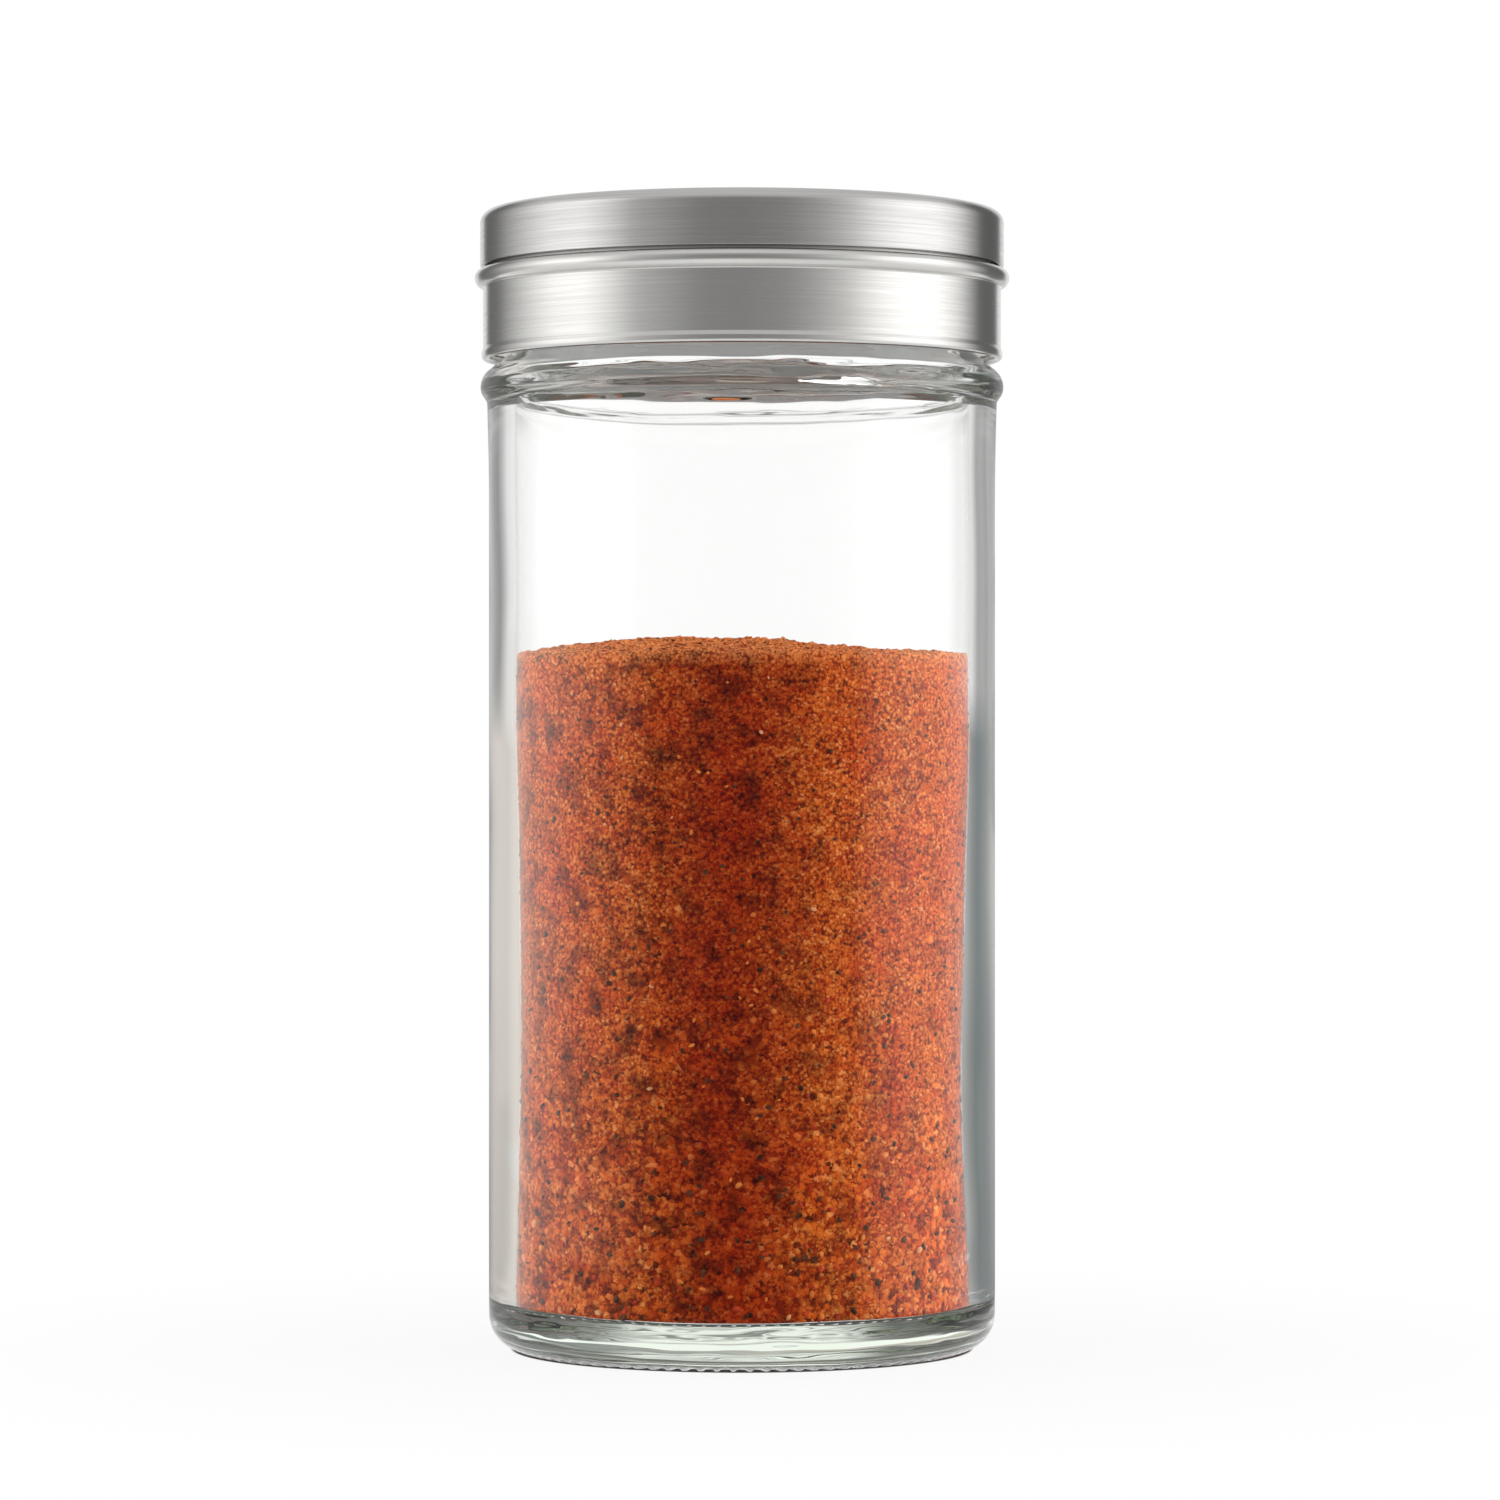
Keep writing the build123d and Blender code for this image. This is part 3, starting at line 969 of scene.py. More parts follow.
@dataclass(frozen=True)
class Studio:
    """The plain white studio: floor, light round the jar, and the camera.

    A table of light gives its level or colour by the direction round the jar, in degrees from
    straight behind it, with the right side positive.

    Attributes:
        eye: Where the camera stands, in metres.
        focal_pixels: The lens's length in pixels of the photograph.
        frame_pixels: The photograph's width in pixels.
        floor_reach: The floor's radius, in metres.
        foot_reach: How far out the floor is painted dark as the shadow under the jar's foot, in metres.
        foot_fade: How soft the edge of that painted shadow is, in metres.
        shadow: Between which distances from the jar the floor's shadow fades out, in metres.
        shadow_share: How much of the floor shows its shadow at the foot.
        table_reach: How far the bright table top reaches, as the steel sees it, in metres.
        table_level: How bright it is.
        floor_shades: How bright the floor shows through the glass, by its distance in metres.
        own_shadow: How the jar's own shadow dims the floor's light on the spice, by its distance.
        floor_spill: How strong the floor's light on the spice is.
        wall_foot: What the foot of the glass wall mirrors of the floor right beside it.
        wall_foot_reach: Between which distances that gives way to what the edge mirrors.
        beside: Between which distances the white beside the jar gives way to the mirrored room.
        dulled: Between which distances that mirrored room grows from dull to full.
        room: The soft boxes at both sides, the backdrop and the dark camera side, as levels.
        spill: The same light as the round jar gathers it on the spice.
        glint: The same light as it mirrors in the glass, like that past a polarising filter.
        open_view: The backdrop as it shows through the glass: white all round, with dark slots.
        mirrored_view: The same, where the thick base turns the view upwards.
        edge_high: What the glass wall's edge mirrors over the horizon, as sRGB colours.
        edge_low: What it mirrors under the horizon.
        ceiling_bars: How bright the upturned view is by its rise, crossed by the ceiling's bars.
        horizon: Between which rises the edge's lower table gives way to its upper one. A rise is
            the sine of the angle over the level.
        upturned: Between which rises the straight view gives way to the upturned one.
        past_edge: Between which rises the edge's tables give way to the open view.
        overhead: Between which rises the light round the jar gives way to the light overhead.
        dimmed: Between which rises the open view dims.
        ceiling: The level overhead, as the steel sees it.
        top_light: The level overhead that the spice gathers through the glass.
        brightest: The highest level that a table holds.
    """

    eye: tuple[float, float, float] = (0.00076, -0.528, 0.0567)
    focal_pixels: float = 5560.0
    frame_pixels: float = 1500.0
    floor_reach: float = 1.2
    foot_reach: float = 0.0217
    foot_fade: float = 0.0003
    shadow: Pair = (0.026, 0.09)
    shadow_share: float = 0.11
    table_reach: float = 0.25
    table_level: float = 0.9
    floor_shades: Table = (
        (0.0, 1.0), (0.0205, 1.0), (0.026, 0.14), (0.06, 0.14), (0.12, 0.45), (0.16, 0.8),
        (0.22, 0.28), (0.48, 0.28), (0.64, 1.0),
    )
    own_shadow: Table = ((0.0, 0.5), (0.04, 0.6), (0.15, 0.9), (0.5, 1.0))
    floor_spill: float = 1.35
    wall_foot: Colour = (0.08, 0.09, 0.08, 1.0)
    wall_foot_reach: Pair = (0.03, 0.06)
    beside: Pair = (0.035, 0.07)
    dulled: Pair = (0.1, 1.0)
    room: Table = (
        (-180, 0.26), (-162, 0.28), (-150, 0.4), (-132, 0.6), (-118, 1.15), (-106, 1.5), (-88, 1.4),
        (-74, 1.0), (-60, 0.62), (-44, 0.22), (-26, 0.12), (-20, 0.9), (20, 0.9), (26, 0.14),
        (50, 0.14), (60, 0.55), (70, 1.1), (84, 1.65), (104, 1.65), (118, 1.35), (132, 0.8),
        (146, 0.5), (160, 0.32), (180, 0.26),
    )
    spill: Table = (
        (-180, 0.05), (-150, 0.1), (-134, 1.4), (-114, 2.2), (-108, 5.6), (-62, 5.2), (-54, 1.2),
        (54, 1.2), (60, 7.9), (108, 7.9), (114, 2.0), (132, 1.2), (148, 0.1), (180, 0.05),
    )
    glint: Table = (
        (-180, 0.04), (-140, 0.06), (-118, 0.24), (-98, 0.6), (-81, 0.9), (-50, 0.6), (-20, 0.6),
        (20, 0.5), (50, 0.4), (72, 0.7), (96, 0.55), (112, 0.35), (126, 0.12), (145, 0.05),
        (180, 0.04),
    )
    open_view: Table = (
        (-180, 1.16), (-130, 1.16), (-122, 0.25), (-114, 0.25), (-106, 1.1), (-76, 1.1), (-68, 0.2),
        (-61, 0.2), (-44, 1.3), (-20, 1.16), (20, 1.16), (44, 1.3), (61, 0.2), (68, 0.2),
        (76, 1.1), (106, 1.1), (114, 0.25), (122, 0.25), (130, 1.16), (180, 1.16),
    )
    mirrored_view: Table = (
        (-180, 0.15), (-44, 0.12), (-26, 0.3), (-16, 1.16), (16, 1.16), (26, 0.4), (44, 0.15),
        (180, 0.15),
    )
    edge_high: Table = (
        (-180, "383838"), (-140, "454545"), (-118, "acacac"), (-98, "f0f0f0"), (-81, "f4f4f4"),
        (-45, "f4f4f4"), (-37, "f0f0f0"), (-31, "bcbcbc"), (-25, "787878"), (-17, "747474"),
        (-11, "9c9c9c"), (-4, "d0d0d0"), (3, "b4b4b4"), (12, "a2a2a2"), (18, "b2b2b2"),
        (23, "9a9a9a"), (30, "acacac"), (36, "a8a8a8"), (42, "eaeaea"), (46, "f4f4f4"),
        (62, "e4e4e4"), (72, "dadada"), (96, "f4f4f4"), (112, "e0e0e0"), (126, "616161"),
        (145, "3f3f3f"), (180, "383838"),
    )
    edge_low: Table = (
        (-180, "383838"), (-140, "454545"), (-118, "868686"), (-98, "b4b4b4"), (-81, "dcdcdc"),
        (-45, "e4dcd4"), (-36, "d2ccc6"), (-24, "dcd2c9"), (-6, "d8cec6"), (4, "c0bebc"),
        (10, "a4a4a4"), (20, "7a8283"), (36, "727a7c"), (42, "8c8e8c"), (50, "b4b4b4"),
        (72, "b4b4b4"), (96, "e8e8e8"), (112, "d0d0d0"), (126, "505050"), (145, "3a3a3a"),
        (180, "383838"),
    )
    ceiling_bars: Table = (
        (0.0, 1.0), (0.13, 1.0), (0.15, 0.6), (0.17, 0.9), (0.19, 0.9), (0.205, 0.3), (0.225, 0.3),
        (0.245, 1.0), (0.28, 0.5), (0.33, 1.0),
    )
    horizon: Pair = (-0.02, 0.006)
    upturned: Pair = (0.08, 0.11)
    past_edge: Pair = (0.12, 0.16)
    overhead: Pair = (0.45, 0.65)
    dimmed: Pair = (0.5, 0.8)
    ceiling: float = 0.75
    top_light: float = 1.3
    brightest: float = 8.0

    def camera(self) -> None:
        """Stands the camera level with the middle of the jar, as in the photograph."""
        data = bpy.data.cameras.new("camera")
        data.sensor_width = 36.0
        data.lens = data.sensor_width * self.focal_pixels / self.frame_pixels
        data.clip_start = 0.01
        data.clip_end = 50.0
        camera = bpy.data.objects.new("camera", data)
        camera.location = self.eye
        camera.rotation_euler = (math.radians(90), 0, 0)
        bpy.context.scene.collection.objects.link(camera)
        bpy.context.scene.camera = camera

    def around(self, tree: Tree, way: Feed, stops: Table) -> Node:
        """Adds one of the tables of light round the jar.

        Args:
            tree: The world's tree or the floor's.
            way: The direction, or the place on the floor.
            stops: The table, as levels or as sRGB hex colours.

        Returns:
            The light from there.
        """
        x, y, _ = add_node(tree, "SeparateXYZ", (way,)).outputs
        turn = add_node(tree, "Math", (x, y), operation="ARCTAN2")
        share = add_node(tree, "MapRange", (turn, -math.pi, math.pi, 0.0, 1.0))
        if isinstance(stops[0][1], str):
            return add_node(tree, "ValToRGB", (share,), [(angle / 360 + 0.5, tone) for angle, tone in stops])
        levels = [(angle / 360 + 0.5, level / self.brightest) for angle, level in stops]
        table = add_node(tree, "ValToRGB", (share,), levels)
        return add_node(tree, "Mix", {0: 1.0, 6: table, 7: grey(self.brightest)}, **TINT)

    def seen(
        self, tree: Tree, solid: Feed, glint: Feed, gathered: Feed, clear: Feed, edge: Feed
    ) -> Node:
        """Gives each kind of ray its own view of the studio, but the camera's own.

        Args:
            tree: The world's tree or the floor's.
            solid: The light that falls on solid things and mirrors in them.
            glint: What mirrors in the glass.
            gathered: The light that reaches the spice through bent rays.
            clear: What shows straight through the glass.
            edge: What shows mirrored in the glass wall's edge.

        Returns:
            The light that the ray sees.
        """
        rays = add_node(tree, "LightPath").outputs
        mirror = (rays["Is Singular Ray"], rays["Is Reflection Ray"])
        glass = add_node(tree, "Math", mirror, operation="MULTIPLY")
        mirrored = add_node(tree, "Mix", {0: glass, 6: solid, 7: glint}, **OVER)
        inner = add_node(tree, "Math", (rays["Glossy Depth"], 0.5), operation="GREATER_THAN")
        through = add_node(tree, "Mix", {0: inner, 6: clear, 7: edge}, **OVER)
        first = add_node(tree, "Math", (rays["Diffuse Depth"], 0.5), operation="LESS_THAN")
        bent = add_node(tree, "Mix", {0: first, 6: gathered, 7: through}, **OVER)
        return add_node(tree, "Mix", {0: rays["Is Transmission Ray"], 6: mirrored, 7: bent}, **OVER)

    def floor_glow(self, tree: Tree, at: Feed, reach: Feed) -> Node:
        """Adds the floor's light, as every ray but the camera's own sees it.

        Args:
            tree: The floor's tree.
            at: The place on the floor.
            reach: Its distance from the jar's middle.

        Returns:
            The light from there.
        """
        rays = add_node(tree, "LightPath").outputs
        room, spill, mirror, view, low = (
            self.around(tree, at, table)
            for table in (self.room, self.spill, self.glint, self.open_view, self.edge_low)
        )
        lit = add_node(tree, "Mix", {0: 0.4, 6: room, 7: grey(0.2)}, **OVER)
        rough = add_node(tree, "Math", (rays["Is Glossy Ray"], rays["Is Singular Ray"]), operation="SUBTRACT")
        near = add_node(tree, "Math", (reach, self.table_reach), operation="LESS_THAN")
        table = add_node(tree, "Math", (rough, near), operation="MULTIPLY")
        solid = add_node(tree, "Mix", {0: table, 6: lit, 7: grey(self.table_level)}, **OVER)
        gathered = add_node(tree, "Mix", {0: 0.6, 6: spill, 7: grey(0.8)}, **OVER)
        own_shadow = add_node(tree, "ValToRGB", (reach,), self.own_shadow)
        for dimmer in (own_shadow, grey(self.floor_spill)):
            gathered = add_node(tree, "Mix", {0: 1.0, 6: gathered, 7: dimmer}, **TINT)
        shade = add_node(tree, "ValToRGB", (reach,), self.floor_shades)
        clear = add_node(tree, "Mix", {0: 1.0, 6: shade, 7: view}, **TINT)
        dull = add_node(tree, "MapRange", (reach, *self.dulled, 0.5, 0.0))
        dulled = add_node(tree, "Mix", {0: dull, 6: mirror, 7: grey(0.0)}, **OVER)
        glint = crossfade(tree, reach, self.beside, grey(0.95), dulled)
        edge = crossfade(tree, reach, self.wall_foot_reach, self.wall_foot, low)
        return self.seen(tree, solid, glint, gathered, clear, edge)

    def floor(self) -> None:
        """Lays a white floor that shows white, keeps a faint shadow, and is painted dark under the foot."""
        mesh = bmesh.new()
        bmesh.ops.create_circle(mesh, cap_ends=True, radius=self.floor_reach, segments=64)
        material, tree = new_material("white_floor")
        at = add_node(tree, "TexCoord").outputs["Object"]
        reach = add_node(tree, "VectorMath", (at,), operation="LENGTH")
        share = add_node(tree, "MapRange", (reach, *self.shadow, self.shadow_share, 0.0))
        matt = add_node(tree, "BsdfDiffuse", {"Color": srgb("f0f0f0")})
        # Under the foot no light gets in: the floor there is painted dark as its shadow, so the gaps between
        # the stipples show dark
        edge = self.foot_reach + self.foot_fade
        under = add_node(tree, "MapRange", (reach, self.foot_reach, edge, 0.01, 1.0))
        white = add_node(tree, "Emission", {"Color": under, "Strength": 1.0})
        glow = add_node(tree, "Emission", {"Color": self.floor_glow(tree, at, reach), "Strength": 1.0})
        shown = add_node(tree, "MixShader", (share, white, matt))
        straight = add_node(tree, "LightPath").outputs["Is Camera Ray"]
        surface = add_node(tree, "MixShader", (straight, glow, shown))
        add_node(tree, "OutputMaterial", {"Surface": surface})
        material.cycles.emission_sampling = "NONE"
        finished("white_floor", mesh, material)

    def light(self) -> None:
        """Lights the jar from soft boxes at its sides, in front of a white backdrop."""
        world = bpy.data.worlds.new("studio")
        bpy.context.scene.world = world
        world.use_nodes = True
        tree = world.node_tree
        tree.nodes.clear()
        way = add_node(tree, "TexCoord").outputs["Generated"]
        rise = add_node(tree, "SeparateXYZ", (way,)).outputs["Z"]
        rays = add_node(tree, "LightPath").outputs
        tables = (self.room, self.spill, self.glint, self.open_view, self.mirrored_view)
        room, spill, glint, straight, upturned = (self.around(tree, way, table) for table in tables)
        low, high = (self.around(tree, way, table) for table in (self.edge_low, self.edge_high))
        lit = crossfade(tree, rise, self.overhead, room, grey(self.ceiling))
        gathered = crossfade(tree, rise, self.overhead, spill, grey(self.top_light))
        inside = add_node(tree, "Math", (rays["Transmission Depth"], 0.5), operation="GREATER_THAN")
        solid = add_node(tree, "Mix", {0: inside, 6: lit, 7: gathered}, **OVER)
        bars = add_node(tree, "ValToRGB", (rise,), self.ceiling_bars)
        barred = add_node(tree, "Mix", {0: 1.0, 6: upturned, 7: bars}, **TINT)
        view = crossfade(tree, rise, self.upturned, straight, barred)
        upper = add_node(tree, "MapRange", (rise, *self.dimmed, 1.0, 0.3))
        clear = add_node(tree, "Mix", {0: 1.0, 6: view, 7: upper}, **TINT)
        level = crossfade(tree, rise, self.horizon, low, high)
        edge = crossfade(tree, rise, self.past_edge, level, clear)
        seen = self.seen(tree, solid, glint, gathered, clear, edge)
        shown = add_node(tree, "Mix", {0: rays["Is Camera Ray"], 6: seen, 7: WHITE}, **OVER)
        glow = add_node(tree, "Background", {"Color": shown, "Strength": 1.0})
        add_node(tree, "OutputWorld", {"Surface": glow})
        world.cycles.sampling_method = "MANUAL"
        world.cycles.sample_map_resolution = 1024

    def build(self) -> None:
        """Sets up the camera, the floor and the light, and the way the picture is shown."""
        self.camera()
        self.floor()
        self.light()
        scene = bpy.context.scene
        scene.view_settings.view_transform = "Standard"
        scene.cycles.max_bounces = 24
        scene.cycles.glossy_bounces = 12
        scene.cycles.transmission_bounces = 24
        scene.cycles.transparent_max_bounces = 16


@dataclass(frozen=True)
class SpiceFill:
    """The spice in the jar, in millimetres: a bed of powder and the coarse bits in it.

    Attributes:
        jar: The jar that holds it.
        gap: The air between the spice and the glass.
        floor_gap: The air between the spice and the jar's floor.
        wall_height: How high it stands at the glass.
        edge_rounding: The rounding of its upper edge.
        outline_step: The longest straight piece of its outline, fine enough for the relief.
        mound_height: How much higher it is at the crown of its mound.
        crown: The place of the mound's crown, along X and Y.
        mound_fall: How quickly the mound falls off from its crown.
        lump_size: The size of the lumps on top.
        lump_height: How high they are.
        crumb_height: How high the smaller ones between them are.
        grain_sizes: The sizes of the powder's fine and coarse relief.
        grain_height: How deep the relief is against the glass.
        loose_height: How deep it is on the loose top.
        loose_depth: How far down the loose top goes.
        top_share: The share of the bits that lie on top.
        flake_length: The least and the greatest half length of a bit.
        flake_width: Its least and greatest width, as a share of its length.
        flake_thickness: Half its thickness.
        flake_tilt: How far a bit may lean, in radians.
        flake_scale: How many times larger the bits are at the bottom and at the top.
        flake_depth: How far inside the bed a bit's middle lies.
        flake_gap: The air between a bit and the glass.
        settling: How strongly the bits gather low in the jar.
        steps: The number of pieces round the bed.
        seed: The seed of chance.
    """

    jar: PressedGlassJar
    gap: float = 0.12
    floor_gap: float = 0.02
    wall_height: float = 65.6
    edge_rounding: float = 0.3
    outline_step: float = 0.34
    mound_height: float = 1.6
    crown: Pair = (-7.0, 2.0)
    mound_fall: float = 1.1
    lump_size: float = 5.0
    lump_height: float = 0.35
    crumb_height: float = 0.2
    grain_sizes: Pair = (0.45, 1.3)
    grain_height: float = 0.1
    loose_height: float = 0.5
    loose_depth: float = 0.4
    top_share: float = 0.22
    flake_length: Pair = (0.16, 0.34)
    flake_width: Pair = (0.45, 0.9)
    flake_thickness: float = 0.09
    flake_tilt: float = 0.25
    flake_scale: Pair = (1.5, 0.75)
    flake_depth: float = 0.06
    flake_gap: float = 0.04
    settling: float = 1.35
    steps: int = 360
    seed: int = 7

    def surface(self, x: float, y: float) -> float:
        """The height of the mound over a place.

        Args:
            x: The place along X, in millimetres.
            y: The place along Y, in millimetres.

        Returns:
            The height in millimetres.
        """
        edge = math.hypot(x, y) / self.jar.bore_radius
        away = math.hypot(x - self.crown[0], (y - self.crown[1]) * 0.8) / self.jar.bore_radius
        mound = self.mound_height * max(0.0, 1.0 - edge**3) * math.exp(-self.mound_fall * away * away)
        lumps = noise.noise(Vector((x / self.lump_size, y / self.lump_size, 3.0))) * self.lump_height
        crumbs = noise.noise(Vector((x, y, 9.0))) * self.crumb_height
        return self.wall_height + mound + (lumps + crumbs)

    def limit(self, angle: float, height: float) -> float:
        """The radius that the spice keeps to at a height, in millimetres.

        Args:
            angle: The direction round the jar, in radians.
            height: The height in millimetres.

        Returns:
            The radius in millimetres.
        """
        jar = self.jar
        corner = jar.floor_corner_radius
        lift = height - jar.floor_height
        low = jar.bore_radius
        if lift < corner:
            low -= corner - math.sqrt(max(0.0, corner**2 - (corner - lift) ** 2))
        start = jar.floor_height + corner
        fade = min(1.0, max(0.0, (height - start) / jar.ripple_fade))
        return low + fade * (jar.bore(angle, height) - jar.bore_radius) - self.gap

    def bed(self, finish: GroundSpice) -> Piece:
        """Models the bed of powder.

        Args:
            finish: The powder.

        Returns:
            The bed.
        """
        radius = self.jar.bore_radius - self.gap
        floor = self.jar.floor_height + self.floor_gap
        outline = Outline(
            (
                Corner(0.0, floor),
                Corner(radius, floor, self.jar.floor_corner_radius),
                Corner(radius, self.wall_height, self.edge_rounding),
                Corner(0.0, self.wall_height),
            ),
            step=self.outline_step,
            arc_step=8.0,
        )
        mesh = turned(outline, self.steps)
        fine, coarse = self.grain_sizes
        top = self.wall_height * MM - self.loose_depth * MM
        for vertex in mesh.verts:
            place = vertex.co / MM
            reach = math.hypot(place.x, place.y)
            grain = noise.noise(place / fine) * 0.6 + noise.noise(place / coarse) * 0.4
            if vertex.co.z > top:
                share = (place.z - self.wall_height + self.loose_depth) / self.loose_depth
                share = min(1.0, max(0.0, share))
                rise = self.surface(place.x, place.y) - self.wall_height
                vertex.co.z += (share * rise + self.loose_height * grain) * MM
            if reach > radius * 0.7 and place.z > floor + 0.2:
                angle = math.atan2(place.y, place.x)
                kept = min(reach, self.limit(angle, place.z)) - self.grain_height * (0.7 + grain)
                vertex.co.x *= kept / reach
                vertex.co.y *= kept / reach
        piece = finished("spice_bed", mesh, finish.material())
        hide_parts("spice_powder")
        return piece

    def flake(self, dice: random.Random) -> Matrix:
        """Picks a place for one coarse bit, against the glass or on top.

        Args:
            dice: The source of chance.

        Returns:
            The matrix that makes the bit from a unit ball.
        """
        angle = dice.uniform(0, math.tau)
        lean = (dice.gauss(0, self.flake_tilt), dice.gauss(0, self.flake_tilt), dice.uniform(0, math.tau))
        turn = Euler(lean).to_matrix().to_4x4()
        length = dice.uniform(*self.flake_length)
        if dice.random() < self.top_share:
            reach = self.jar.bore_radius * math.sqrt(dice.random()) * 0.97
            x, y = reach * math.cos(angle), reach * math.sin(angle)
            place = Vector((x, y, self.surface(x, y) + 0.02))
            stand = Matrix.Identity(4)
        else:
            span = self.wall_height - self.jar.floor_height - 0.6
            share = dice.random() ** self.settling
            height = self.jar.floor_height + 0.5 + span * share
            low, high = self.flake_scale
            length *= low + (high - low) * share
            reach = self.limit(angle, height) - self.flake_depth
            place = Vector((reach * math.cos(angle), reach * math.sin(angle), height))
            stand = Matrix.Rotation(angle, 4, "Z") @ Matrix.Rotation(math.pi / 2, 4, "Y")
        width = length * dice.uniform(*self.flake_width)
        shape = Matrix.Diagonal((length, width, self.flake_thickness, 1.0))
        return Matrix.Scale(MM, 4) @ Matrix.Translation(place) @ stand @ turn @ shape

    def flakes(self, kind: FlakeKind) -> Piece:
        """Scatters the bits of one kind, pressed flat where they meet the glass.

        Args:
            kind: The kind of bit.

        Returns:
            The bits, as one object.
        """
        dice = random.Random(f"{self.seed} {kind.label}")
        ball = bmesh.new()
        bmesh.ops.create_icosphere(ball, subdivisions=1, radius=1.0)
        bit = bpy.data.meshes.new("bit")
        ball.to_mesh(bit)
        ball.free()
        mesh = bmesh.new()
        for _ in range(kind.count):
            placed = bit.copy()
            placed.transform(self.flake(dice))
            mesh.from_mesh(placed)
            bpy.data.meshes.remove(placed)
        bpy.data.meshes.remove(bit)
        for vertex in mesh.verts:
            place = vertex.co / MM
            reach = math.hypot(place.x, place.y)
            kept = self.limit(math.atan2(place.y, place.x), place.z) + self.gap - self.flake_gap
            if reach > kept:
                vertex.co.x *= kept / reach
                vertex.co.y *= kept / reach
        return finished(kind.label, mesh, kind.material())

    def build(self, finish: GroundSpice) -> list[Piece]:
        """Models the spice and dresses it.

        Args:
            finish: The powder.

        Returns:
            The bed and each kind of coarse bit.
        """
        pieces = [self.bed(finish)] + [self.flakes(kind) for kind in FlakeKind]
        for piece in pieces:
            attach(piece, "jar")
        return pieces


@dataclass(frozen=True)
class ShakerLid:
    """The lid's steel, in millimetres: the collar, the plate, the turning cap and its rivet.

    Attributes:
        collar_radius: The outside of the collar's plain band.
        collar_bottom: The underside of its hem.
        collar_top: The top of its bead.
        collar_opening: The radius of the opening in its top.
        bead_radius: The rolled bead's radius, and how far it stands out.
        hem_radius: The rolled hem's radius.
        hem_projection: How far the hem stands out.
        hem_slope: Over the hem's middle, where its outside starts and ends sloping in.
        hem_lip: Over the hem's middle, where its rolled edge starts and ends sloping back.
        bead_hollow: How far the bead's inside stands out from the band.
        bead_slope: Under the bead's middle, where the bore starts and ends sloping out to it.
        bead_seam: How far under the bead the band's own face starts.
        fold: The rounding of the sheet's folds.
        sheet: The collar's sheet.
        cap_radius: The outside of the cap.
        cap_sheet: The cap's sheet.
        cap_bottom: The cap's lower edge.
        cap_top: Its top.
        cap_corner: The rounding between its top and its side.
        window_inner: The radius at which the window starts.
        window_outer: The radius at which it ends.
        window_angle: How far round the cap it goes, in degrees.
        window_corner: The rounding of its corners.
        window_cut: How far the shape that cuts it goes over and under the cap's top.
        window_direction: Where its middle is round the cap, in degrees.
        rivet_hole: The radius of the hole for the rivet.
        broken_edge: The rounding of a sheared edge.
        steps: The number of pieces round the lid.
    """

    collar_radius: float = 24.55
    collar_bottom: float = 93.65
    collar_top: float = 102.2
    collar_opening: float = 24.05
    bead_radius: float = 0.8
    hem_radius: float = 0.4
    hem_projection: float = 0.15
    hem_slope: Pair = (0.3, 0.7)
    hem_lip: Pair = (0.36, 0.44)
    bead_hollow: float = 0.3
    bead_slope: Pair = (0.45, 0.3)
    bead_seam: float = 0.06
    fold: float = 0.2
    sheet: float = 0.35
    cap_radius: float = 24.83
    cap_sheet: float = 0.45
    cap_bottom: float = 102.5
    cap_top: float = 107.75
    cap_corner: float = 1.2
    window_inner: float = 7.5
    window_outer: float = 17.0
    window_angle: float = 76.0
    window_corner: float = 1.5
    window_cut: float = 2.0
    window_direction: float = 0.0
    rivet_hole: float = 2.05
    broken_edge: float = 0.08
    steps: int = 256

    def window(self) -> Shape:
        """The window's shape: a ring sector with round corners, taller than the sheet.

        Returns:
            The closed shape.
        """
        mesh = bmesh.new()
        low, high = self.cap_top - self.window_cut, self.cap_top + self.window_cut
        start = Matrix.Rotation(math.radians(self.window_direction - self.window_angle / 2), 4, "Z")
        reaches = (self.window_inner, self.window_outer)
        ends = [mesh.verts.new(start @ Vector((reach, 0, low)) * MM) for reach in reaches]
        side = mesh.edges.new(ends)
        bmesh.ops.spin(
            mesh,
            geom=[*ends, side],
            cent=(0, 0, 0),
            axis=(0, 0, 1),
            angle=math.radians(self.window_angle),
            steps=24,
            use_merge=False,
            use_duplicate=False,
        )
        lifted = bmesh.ops.extrude_face_region(mesh, geom=mesh.faces[:])
        moved = [item for item in lifted["geom"] if isinstance(item, bmesh.types.BMVert)]
        bmesh.ops.translate(mesh, verts=moved, vec=(0, 0, (high - low) * MM))
        bmesh.ops.recalc_face_normals(mesh, faces=mesh.faces)
        upright = [edge for edge in mesh.edges if abs(edge.verts[0].co.z - edge.verts[1].co.z) > MM]
        bmesh.ops.bevel(
            mesh,
            geom=[edge for edge in upright if edge.calc_face_angle() > 1.0],
            offset=self.window_corner * MM,
            affect="EDGES",
            segments=6,
            profile=0.5,
            material=-1,
        )
        return mesh

    def cap(self, steel: Material) -> Piece:
        """Models the turning cap.

        Args:
            steel: Its material.

        Returns:
            The cap.
        """
        bore = self.cap_radius - self.cap_sheet
        ceiling = self.cap_top - self.cap_sheet
        outline = Outline(
            (
                Corner(self.rivet_hole, self.cap_top, self.broken_edge),
                Corner(self.cap_radius, self.cap_top, self.cap_corner),
                Corner(self.cap_radius, self.cap_bottom, self.broken_edge),
                Corner(bore, self.cap_bottom, self.broken_edge),
                Corner(bore, ceiling, self.cap_corner - self.cap_sheet),
                Corner(self.rivet_hole, ceiling, self.broken_edge),
            )
        )
        piece = weighted(cut(finished("turning_cap", turned(outline, self.steps), steel), self.window()))
        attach(piece, "cap")
        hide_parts("rotating_cap")
        return piece

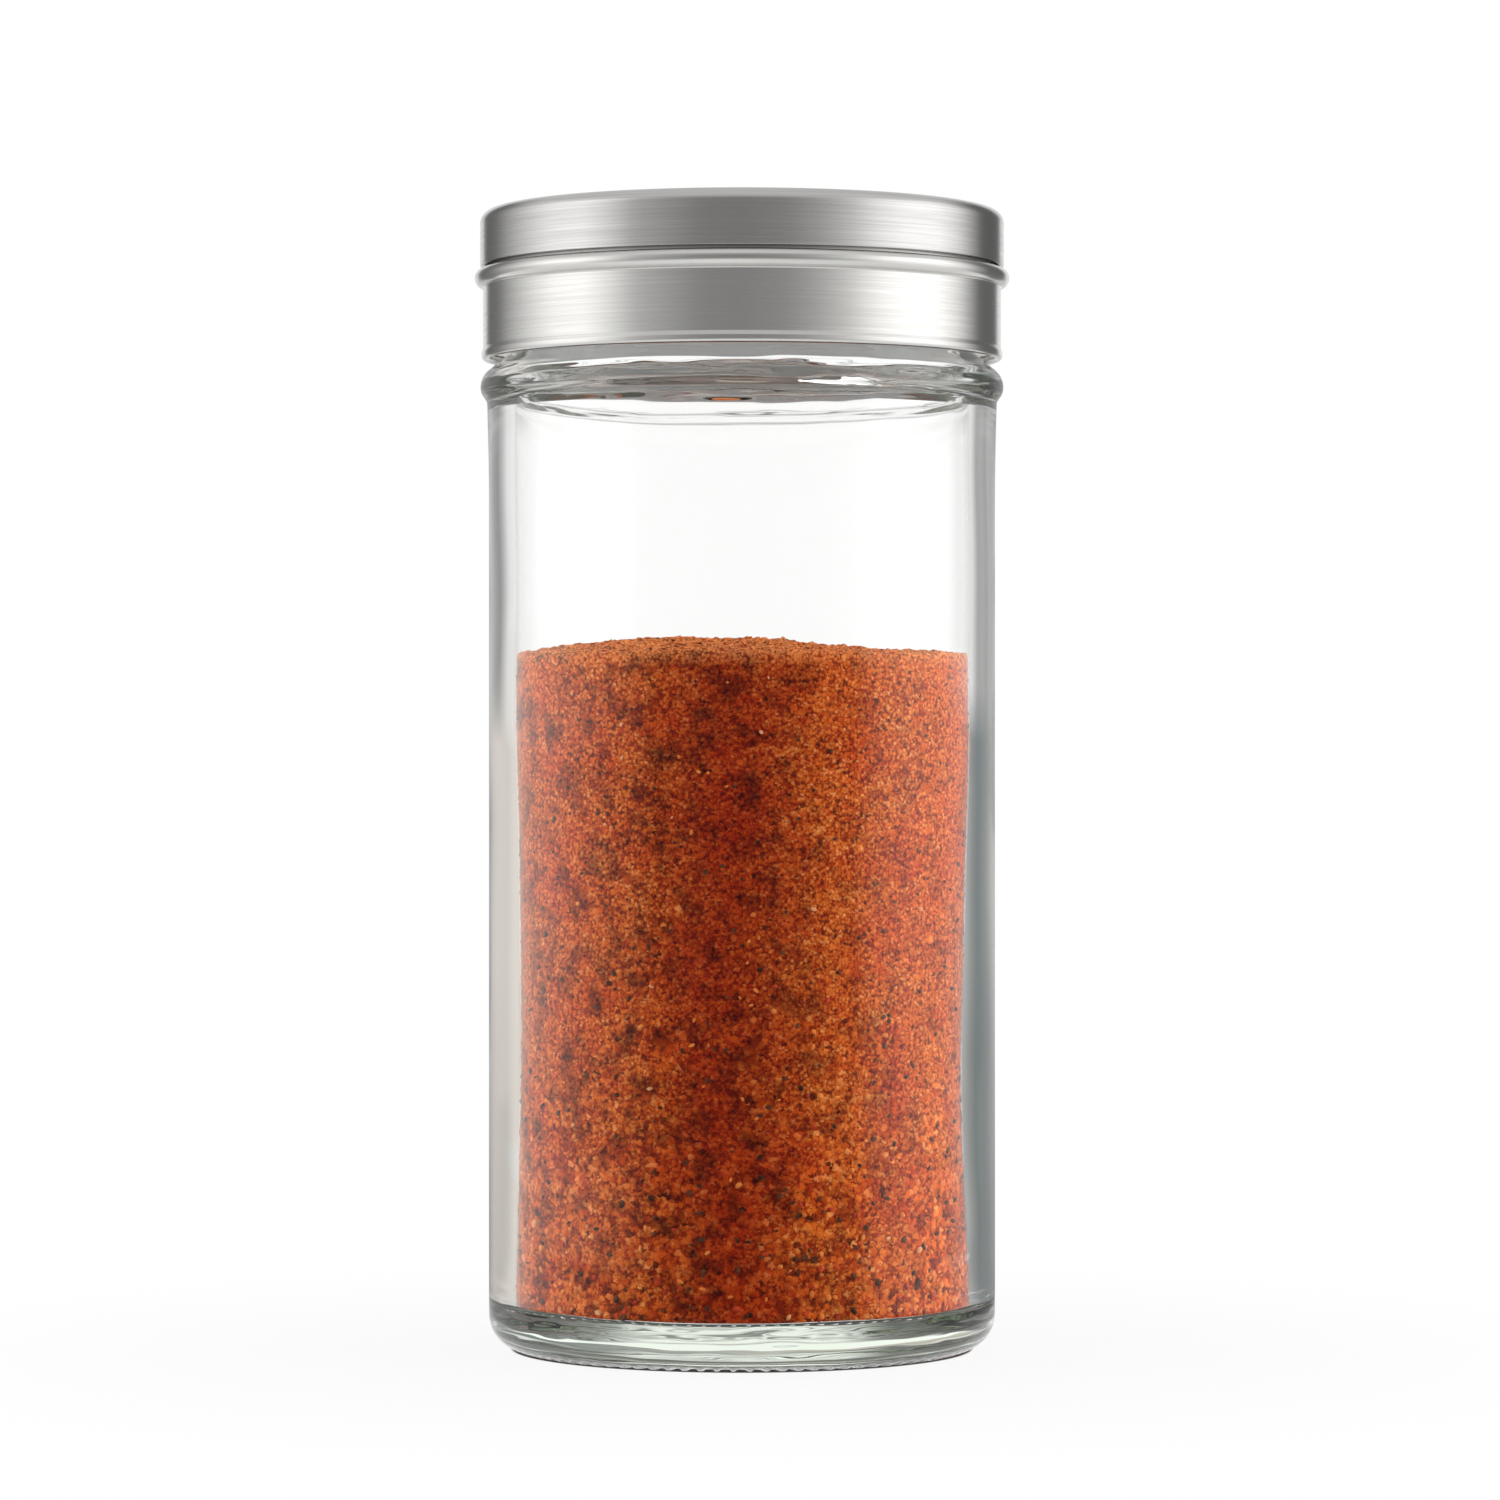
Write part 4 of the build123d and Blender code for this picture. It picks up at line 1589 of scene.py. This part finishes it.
    def collar(self, steel: Material) -> Piece:
        """Models the collar with its rolled hem and bead.

        Args:
            steel: Its material.

        Returns:
            The collar.
        """
        bore = self.collar_radius - self.sheet
        top_under = self.collar_top - self.sheet
        bead = self.collar_top - self.bead_radius
        bead_low = self.collar_top - 2 * self.bead_radius
        bead_out = self.collar_radius + self.bead_radius
        bead_in = self.collar_radius + self.bead_hollow
        bead_turn = self.bead_radius - 0.01
        hem = self.collar_bottom + self.hem_radius
        hem_out = self.collar_radius + self.hem_projection
        hem_in = hem_out - 2 * self.hem_radius
        hem_turn = self.hem_radius - 0.02
        slope_low, slope_high = (hem + rise for rise in self.hem_slope)
        lip_low, lip_high = (hem + rise for rise in self.hem_lip)
        hollow_low, hollow_high = (bead - drop for drop in self.bead_slope)
        outline = Outline(
            (
                Corner(self.collar_opening, self.collar_top, self.broken_edge),
                Corner(bead_out, self.collar_top, bead_turn),
                Corner(bead_out, bead_low, bead_turn),
                Corner(self.collar_radius, bead_low - self.bead_seam, self.fold),
                Corner(self.collar_radius, slope_high, 0.3),
                Corner(hem_out, slope_low, 0.25),
                Corner(hem_out, self.collar_bottom, hem_turn),
                Corner(hem_in, self.collar_bottom, hem_turn),
                Corner(hem_in, lip_low, self.fold),
                Corner(bore, lip_high),
                Corner(bore, hollow_low, 0.1),
                Corner(bead_in, hollow_high, self.fold),
                Corner(bead_in, top_under, self.fold),
                Corner(self.collar_opening, top_under, self.broken_edge),
            ),
            step=0.8,
            arc_step=12.0,
        )
        piece = weighted(finished("lid_collar", turned(outline, self.steps), steel))
        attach(piece, "lid")
        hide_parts("collar_band")
        return piece

    def build(self) -> list[Piece]:
        """Models the steel and dresses the lid's carried-over pieces.

        Returns:
            The new pieces.
        """
        # One brushed steel in two copies: the cap's is painted darker as painted shade, the band's lighter as
        # painted light
        cap_steel = BrushedStainless("brushed_stainless_cap", "d2d1cf", "c0bfbd")
        band_steel = BrushedStainless("brushed_stainless_band", "e0dfdc", "d2d1ce")
        plate_steel = BrushedStainless("satin_stainless", "cfcecb", "b4b2af", (0.3, 0.4), 0.5, 9.0)
        washer_steel = TurnedStainless("spring_stainless", "cdccca", "b0aeab", 0.28)
        plastic = MouldedPlastic("moulded_polypropylene", "f2f6f9", "eaeef1", 0.45, 1.49, 0.2)
        silicone = MouldedPlastic("cast_silicone", "e0dfda", "d4d2cc", 0.6, 1.41, 0.4)
        dull, bright = cap_steel.material(self.cap_radius), band_steel.material(self.collar_radius)
        dresses = {
            "sifter_plate": plate_steel.material(self.collar_radius),
            "pivot_rivet": TurnedStainless().material(),
            "spring_washer": washer_steel.material(),
            "threaded_insert": plastic.material(),
            "rim_gasket": silicone.material(),
        }
        for name, material in dresses.items():
            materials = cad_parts[name].data.materials
            materials.clear()
            materials.append(material)
        return [self.cap(dull), self.collar(bright)]


def report(pieces: Iterable[Piece]) -> None:
    """Logs each piece's name and number of faces.

    Args:
        pieces: The pieces.
    """
    for piece in pieces:
        log.info("%s: %d faces", piece.name, len(piece.data.polygons))


def main() -> None:
    logging.basicConfig(level=logging.INFO, format="%(asctime)s %(message)s")
    Studio().build()
    jar = PressedGlassJar()
    report([jar.build(PressedSodaLimeGlass())])
    report(SpiceFill(jar).build(GroundSpice()))
    report(ShakerLid().build())


if __name__ == "__main__":
    main()
